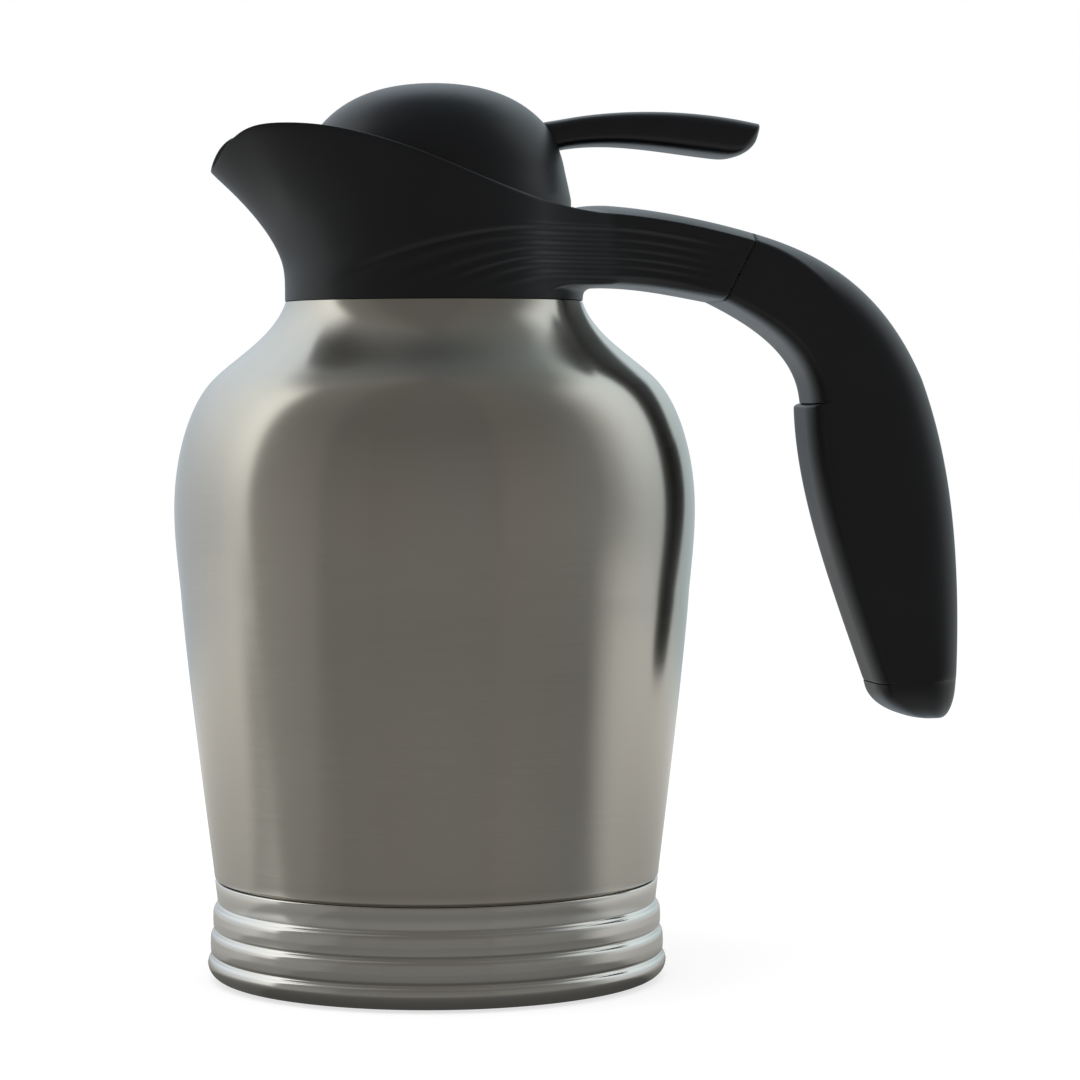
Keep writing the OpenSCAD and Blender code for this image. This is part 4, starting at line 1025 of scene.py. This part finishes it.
class CARAFE_OT_lever(bpy.types.Operator):
    """Build the thumb lever and finish its screws"""

    bl_idname = "carafe.lever"
    bl_label = "Thumb lever"

    def execute(self, context):
        s = sizes()
        top = [(s.dome_r - 4.5, s.dome_top - 9.4), (s.dome_r + 9.4, s.dome_top - 6.2),
               (s.tip_end - 19.6, s.dome_top - 5.4), (s.tip_end - 0.2, s.dome_top - 9.6)]
        low = [(s.dome_r - 4.5, s.dome_top - 17.3), (s.dome_r + 10.4, s.dome_top - 13.8),
               (s.tip_end - 25, s.dome_top - 17.3), (s.tip_end - 8.7, s.dome_top - 18.8)]

        def ring(a, b, w):
            mid = ((a[0] + b[0]) / 2, (a[1] + b[1]) / 2)
            h = ((a[0] - b[0]) / 2, (a[1] - b[1]) / 2)
            out = []
            for t in range(0, 360, 12):
                c, v = cosd(t), sind(t)
                k = math.copysign(abs(v) ** 0.62, v)
                y = -w / 2 * math.copysign(abs(c) ** 0.62, c)
                out.append((mid[0] + h[0] * k, y, mid[1] + h[1] * k))
            return out

        # The root begins just under the dome's surface
        rings = [ring((s.dome_r - 9.8, s.dome_top - 10.2), (s.dome_r - 4.4, s.dome_top - 17.6),
                      s.lever_w * 0.74)]
        rings += [ring(bez_at(top, i / 20), bez_at(low, i / 20),
                       s.lever_w * (0.74 + 0.26 * smooth(i / 20 * 1.1))) for i in range(1, 21)]
        for a in (15, 30, 45, 57, 67):
            rings.append(ring((top[3][0] + 0.3 * sind(a), top[3][1] - 0.6 * (1 - cosd(a))),
                              (low[3][0] + 8.4 * sind(a), low[3][1] + 6.8 * (1 - cosd(a))),
                              s.lever_w * cosd(a * 0.8)))
        piece, weights = loft("lever_moulded", rings, 0.4)
        crease(piece, weights)
        subdivide(piece, 2)
        stand_for(piece, "lid", "black_moulding", finish("moulding"), "thumb_lever")
        screws = lever_screws(s)
        stand_for(screws, "lid", "screw_steel", finish("screw"), "lever_screws")
        return {"FINISHED"}


# Studio

# Size, place and aim of the soft lamp overhead, and place of the camera, in metres
LAMP_SIZE = (1.6, 1.2)
LAMP_PLACE = (-0.25, -0.35, 1.5)
LAMP_AIM = (0, 0, 0.1)
CAMERA_PLACE = (-0.1435, -0.9062, 0.1549)
# Degrees the camera looks towards +X from +Y and is rolled, and radians it looks down
CAMERA_TURN = 10.7
CAMERA_ROLL = -0.2
CAMERA_DOWN = 0.045
# Half the side of the floor, in millimetres
FLOOR_HALF = 4000
# Tones round the object, in degrees from -Y towards +X: red, green, blue, and 1 where it is a light wall
ROOM_TONES = [
    (-180, 0.60, 0.67, 0.74, 1), (-164, 0.60, 0.66, 0.72, 1), (-140, 0.66, 0.71, 0.76, 1),
    (-120, 0.72, 0.75, 0.76, 1), (-106, 0.86, 0.88, 0.87, 1), (-99.5, 0.86, 0.88, 0.86, 1),
    (-96, 0.32, 0.32, 0.31, 0), (-61.5, 0.25, 0.245, 0.235, 0), (-59, 0.205, 0.20, 0.195, 0),
    (-37.5, 0.205, 0.20, 0.19, 0), (-36, 0.18, 0.175, 0.17, 0), (-34, 0.20, 0.194, 0.185, 0),
    (0, 0.20, 0.194, 0.19, 0), (16.5, 0.20, 0.194, 0.19, 0), (18, 0.17, 0.165, 0.16, 0),
    (20, 0.22, 0.213, 0.20, 0), (49, 0.225, 0.225, 0.215, 0), (68, 0.23, 0.24, 0.24, 0.1),
    (80, 0.38, 0.40, 0.40, 0.6), (89, 0.54, 0.575, 0.583, 0.9), (97, 0.62, 0.66, 0.68, 1),
    (120, 0.62, 0.69, 0.72, 1), (142, 0.55, 0.65, 0.68, 1), (180, 0.60, 0.67, 0.74, 1)]
# How the tones change with height, from straight down at -1 to straight up at 1: the dim room stands on a
# bright table, and the light walls end under a dark ceiling
ROOM_HEIGHT = [(-1, 2.4), (-0.66, 2.3), (-0.42, 1.15), (-0.2, 1), (0, 0.97), (0.3, 0.86), (0.6, 0.68),
               (1, 0.75)]
WALL_HEIGHT = [(-1, 1.2), (-0.45, 1.5), (-0.3, 0.9), (-0.15, 0.8), (0.07, 0.93), (0.28, 1.25),
               (0.56, 1.45), (0.72, 1.4), (0.84, 0.35), (1, 0.21)]
# A colour ramp holds shares of one, so the factors are divided by this and the light is multiplied again
HEIGHT_SCALE = 4
# The table near the object, which low reflections show, glows with painted light: tone far out and how much
# painted shade darkens it inwards
TABLE_TONES = [(-180, 0.85, 1), (-106, 0.9, 1), (-97, 0.34, 0.3), (-62, 0.27, 0.3), (-58, 0.2, 0.3),
               (60, 0.19, 0.3), (76, 0.85, 1), (180, 0.85, 1)]
# Metres from the axis over which it changes: painted shade darkens it inwards, a painted shadow makes it
# darkest at the foot, it shows however it is seen near the object, and it ends farther out
TABLE_SHADE_INWARDS, TABLE_FOOT_SHADOW = (0.1, 0.64), (0.058, 0.085)
TABLE_ALWAYS, TABLE_END = (0.07, 0.13), (0.45, 0.75)


def add_ramp(tree, value, low, high, stops):
    """Colour ramp over a range of values, from stops of (value, red, green, blue, alpha)."""
    node = add(tree, "ShaderNodeValToRGB", None, Fac=ramp(tree, value, low, high, 0, 1))
    while len(node.color_ramp.elements) > 1:
        node.color_ramp.elements.remove(node.color_ramp.elements[0])
    for k, (at, *colour) in enumerate(stops):
        stop = node.color_ramp.elements[0] if k == 0 else node.color_ramp.elements.new(1.0)
        stop.position = (at - low) / (high - low)
        stop.color = colour
    return node


def azimuth_of(tree, vector):
    """Degrees round the axis from -Y towards +X, and the vector's height."""
    split = add(tree, "ShaderNodeSeparateXYZ", None, Vector=vector)
    ahead = add(tree, "ShaderNodeMath", {"operation": "MULTIPLY", 1: -1.0}, in0=split.outputs["Y"])
    turn = add(tree, "ShaderNodeMath", {"operation": "ARCTAN2"}, in0=split.outputs["X"],
               in1=ahead.outputs[0])
    return ramp(tree, turn.outputs[0], -math.pi, math.pi, -180, 180), split.outputs["Z"]


class CARAFE_OT_studio(bpy.types.Operator):
    """Build the floor, the light and the camera"""

    bl_idname = "carafe.studio"
    bl_label = "Studio"

    def execute(self, context):
        scene, studio = context.scene, context.scene.carafe_studio
        self.floor()
        self.surroundings(scene, studio)
        lamp = bpy.data.lights.new("soft_overhead", "AREA")
        lamp.shape = "RECTANGLE"
        lamp.size, lamp.size_y = LAMP_SIZE
        lamp.energy = studio.lamp_power
        holder = bpy.data.objects.new("soft_overhead", lamp)
        holder.location = LAMP_PLACE
        aim = Vector(LAMP_AIM) - Vector(LAMP_PLACE)
        holder.rotation_euler = aim.to_track_quat("-Z", "Y").to_euler()
        holder.visible_glossy = False
        scene.collection.objects.link(holder)
        self.camera(scene, studio)
        scene.view_settings.view_transform = "Standard"
        return {"FINISHED"}

    def floor(self):
        """Pale floor that keeps the shadow. Gloss shows it near the object, glowing with painted light and a
        painted shadow towards the foot, and from below it is clear.
        """
        h = FLOOR_HALF
        piece = new_mesh("floor", [(-h, -h, 0), (h, -h, 0), (h, h, 0), (-h, h, 0)], [[0, 1, 2, 3]], None)
        material = bpy.data.materials.new("painted_board_matt")
        material.use_nodes = True
        tree = material.node_tree
        tree.nodes.clear()
        paint = add(tree, "ShaderNodeBsdfDiffuse", {"Color": (*srgb("F2F2F2"), 1)})
        part = add(tree, "ShaderNodeBsdfDiffuse", {"Color": (0.4, 0.4, 0.4, 1)})
        glow = add(tree, "ShaderNodeEmission", {"Color": (1, 1, 1, 1), "Strength": 0.70})
        seen = add(tree, "ShaderNodeAddShader", None, in0=part.outputs[0], in1=glow.outputs[0])
        clear = add(tree, "ShaderNodeBsdfTransparent")
        path = add(tree, "ShaderNodeLightPath")
        front = add(tree, "ShaderNodeMixShader", None, Fac=path.outputs["Is Camera Ray"],
                    in1=paint.outputs[0], in2=seen.outputs[0])
        # In gloss only the table near the object shows, as painted light with painted shade inwards and a
        # painted shadow at the foot, and farther out or steeply seen the studio does
        where = add(tree, "ShaderNodeTexCoord").outputs["Object"]
        turn, _ = azimuth_of(tree, where)
        tone = add_ramp(tree, turn, -180, 180, [(at, v, v, v * 0.97, fade) for at, v, fade in TABLE_TONES])
        away = add(tree, "ShaderNodeVectorMath", {"operation": "LENGTH"}, in0=where).outputs["Value"]
        # Painted shade: the table's glow darkens inwards towards the object
        painted_shade_inwards = add(tree, "ShaderNodeMath", {"operation": "MULTIPLY"}, in0=tone.outputs["Alpha"],
                   in1=ramp(tree, away, *TABLE_SHADE_INWARDS, -0.55, 0))
        level = add(tree, "ShaderNodeMath", {"operation": "ADD", 1: 1.0}, in0=painted_shade_inwards.outputs[0])
        # Painted shadow: the table's glow is dimmed most near the foot
        painted_shadow_at_foot = add(tree, "ShaderNodeMath", {"operation": "MULTIPLY"}, in0=level.outputs[0],
                            in1=ramp(tree, away, *TABLE_FOOT_SHADOW, 0.4, 1))
        # The table's glow is painted light, brighter at the sides and behind than on the camera's side
        table = add(tree, "ShaderNodeEmission", None, Color=tone.outputs["Color"],
                    Strength=painted_shadow_at_foot.outputs[0])
        facing = add(tree, "ShaderNodeLayerWeight", {"Blend": 0.5}).outputs["Facing"]
        low = add(tree, "ShaderNodeMath", {"operation": "MAXIMUM"}, in0=ramp(tree, facing, 0.55, 0.72, 0, 1),
                  in1=ramp(tree, away, *TABLE_ALWAYS, 1, 0))
        shown = add(tree, "ShaderNodeMath", {"operation": "MULTIPLY"}, in0=low.outputs[0],
                    in1=ramp(tree, away, *TABLE_END, 1, 0))
        gloss = add(tree, "ShaderNodeMixShader", None, Fac=shown.outputs[0], in1=clear.outputs[0],
                    in2=table.outputs[0])
        any_ray = add(tree, "ShaderNodeMixShader", None, Fac=path.outputs["Is Glossy Ray"],
                      in1=front.outputs[0], in2=gloss.outputs[0])
        side = add(tree, "ShaderNodeNewGeometry")
        both = add(tree, "ShaderNodeMixShader", None, Fac=side.outputs["Backfacing"],
                   in1=any_ray.outputs[0], in2=clear.outputs[0])
        out = add(tree, "ShaderNodeOutputMaterial")
        tree.links.new(both.outputs[0], out.inputs["Surface"])
        piece.data.materials.append(material)

    def surroundings(self, scene, studio):
        """White all round for the camera. Gloss shows the studio instead: light walls at the sides and
        behind, and a dimmer room on the camera's side and overhead."""
        world = bpy.data.worlds.new("studio")
        scene.world = world
        world.use_nodes = True
        tree = world.node_tree
        tree.nodes.clear()
        turn, height = azimuth_of(tree, add(tree, "ShaderNodeTexCoord").outputs["Generated"])
        stops = []
        for at, r, g, b, wall in ROOM_TONES:
            k = mix(studio.near_tone / ROOM_LEVEL, studio.wall_tone, wall)
            stops.append((at, r * k, g * k, b * k, wall))
        room = add_ramp(tree, turn, -180, 180, stops)
        dim, bright = (add_ramp(tree, height, -1, 1, [(at, *[v / HEIGHT_SCALE] * 3, 1) for at, v in rows])
                       for rows in (ROOM_HEIGHT, WALL_HEIGHT))
        by_height = add(tree, "ShaderNodeMix", {"data_type": "RGBA"})
        tree.links.new(room.outputs["Alpha"], by_height.inputs[0])
        tree.links.new(dim.outputs["Color"], by_height.inputs[6])
        tree.links.new(bright.outputs["Color"], by_height.inputs[7])
        tones = add(tree, "ShaderNodeVectorMath", {"operation": "MULTIPLY"}, in0=room.outputs["Color"],
                    in1=by_height.outputs[2])
        path = add(tree, "ShaderNodeLightPath")
        shiny = add(tree, "ShaderNodeBackground", {"Strength": HEIGHT_SCALE}, Color=tones.outputs[0])
        plain = add(tree, "ShaderNodeBackground", {"Color": (1, 1, 1, 1), "Strength": 0.75})
        white = add(tree, "ShaderNodeBackground", {"Color": (1, 1, 1, 1), "Strength": 1.0})
        light = add(tree, "ShaderNodeMixShader", None, Fac=path.outputs["Is Glossy Ray"],
                    in1=plain.outputs[0], in2=shiny.outputs[0])
        clear = add(tree, "ShaderNodeMath", {"operation": "MAXIMUM"}, in0=path.outputs["Is Camera Ray"],
                    in1=path.outputs["Is Transmission Ray"])
        both = add(tree, "ShaderNodeMixShader", None, Fac=clear.outputs[0], in1=light.outputs[0],
                   in2=white.outputs[0])
        out = add(tree, "ShaderNodeOutputWorld")
        tree.links.new(both.outputs[0], out.inputs["Surface"])

    def camera(self, scene, studio):
        """Camera at the photograph's place, about 0.92 m away and a little to the spout's side."""
        data = bpy.data.cameras.new("camera")
        data.lens = studio.lens
        data.sensor_width = 36.0
        data.clip_start, data.clip_end = 0.01, 50
        camera = bpy.data.objects.new("camera", data)
        scene.collection.objects.link(camera)
        turn, down = math.radians(CAMERA_TURN), CAMERA_DOWN
        look = Vector((math.sin(turn) * math.cos(down), math.cos(turn) * math.cos(down), -math.sin(down)))
        roll = Matrix.Rotation(math.radians(CAMERA_ROLL), 4, "Z").to_quaternion()
        camera.location = CAMERA_PLACE
        camera.rotation_mode = "QUATERNION"
        camera.rotation_quaternion = look.to_track_quat("-Z", "Y") @ roll
        scene.camera = camera


# Panel and registration

STEPS = ["shell", "vessel", "base", "neck", "collar", "grip", "stopper", "lid", "lever", "studio"]


class CARAFE_PT_panel(bpy.types.Panel):
    """Steps and sizes of the carafe"""

    bl_label = "Thermal Carafe"
    bl_idname = "CARAFE_PT_panel"
    bl_space_type = "VIEW_3D"
    bl_region_type = "UI"
    bl_category = "Carafe"

    def draw(self, context):
        layout = self.layout
        for step in STEPS:
            layout.operator("carafe." + step)
        for title, group, owner in (("Sizes", context.scene.carafe_sizes, CarafeSizes),
                                    ("Colours", context.scene.carafe_colours, CarafeColours),
                                    ("Studio", context.scene.carafe_studio, CarafeStudio)):
            box = layout.box()
            box.label(text=title)
            for name in owner.__annotations__:
                box.prop(group, name)


GROUPS = {"carafe_sizes": CarafeSizes, "carafe_colours": CarafeColours, "carafe_studio": CarafeStudio}
CLASSES = [CarafeSizes, CarafeColours, CarafeStudio, CARAFE_OT_shell, CARAFE_OT_vessel, CARAFE_OT_base,
           CARAFE_OT_neck, CARAFE_OT_collar, CARAFE_OT_grip, CARAFE_OT_stopper, CARAFE_OT_lid,
           CARAFE_OT_lever, CARAFE_OT_studio, CARAFE_PT_panel]


def register():
    for each in CLASSES:
        bpy.utils.register_class(each)
    for name, group in GROUPS.items():
        setattr(bpy.types.Scene, name, bpy.props.PointerProperty(type=group))


def unregister():
    for name in GROUPS:
        delattr(bpy.types.Scene, name)
    for each in reversed(CLASSES):
        bpy.utils.unregister_class(each)


def main():
    register()
    for step in STEPS:
        getattr(bpy.ops.carafe, step)()


if __name__ == "__main__":
    main()
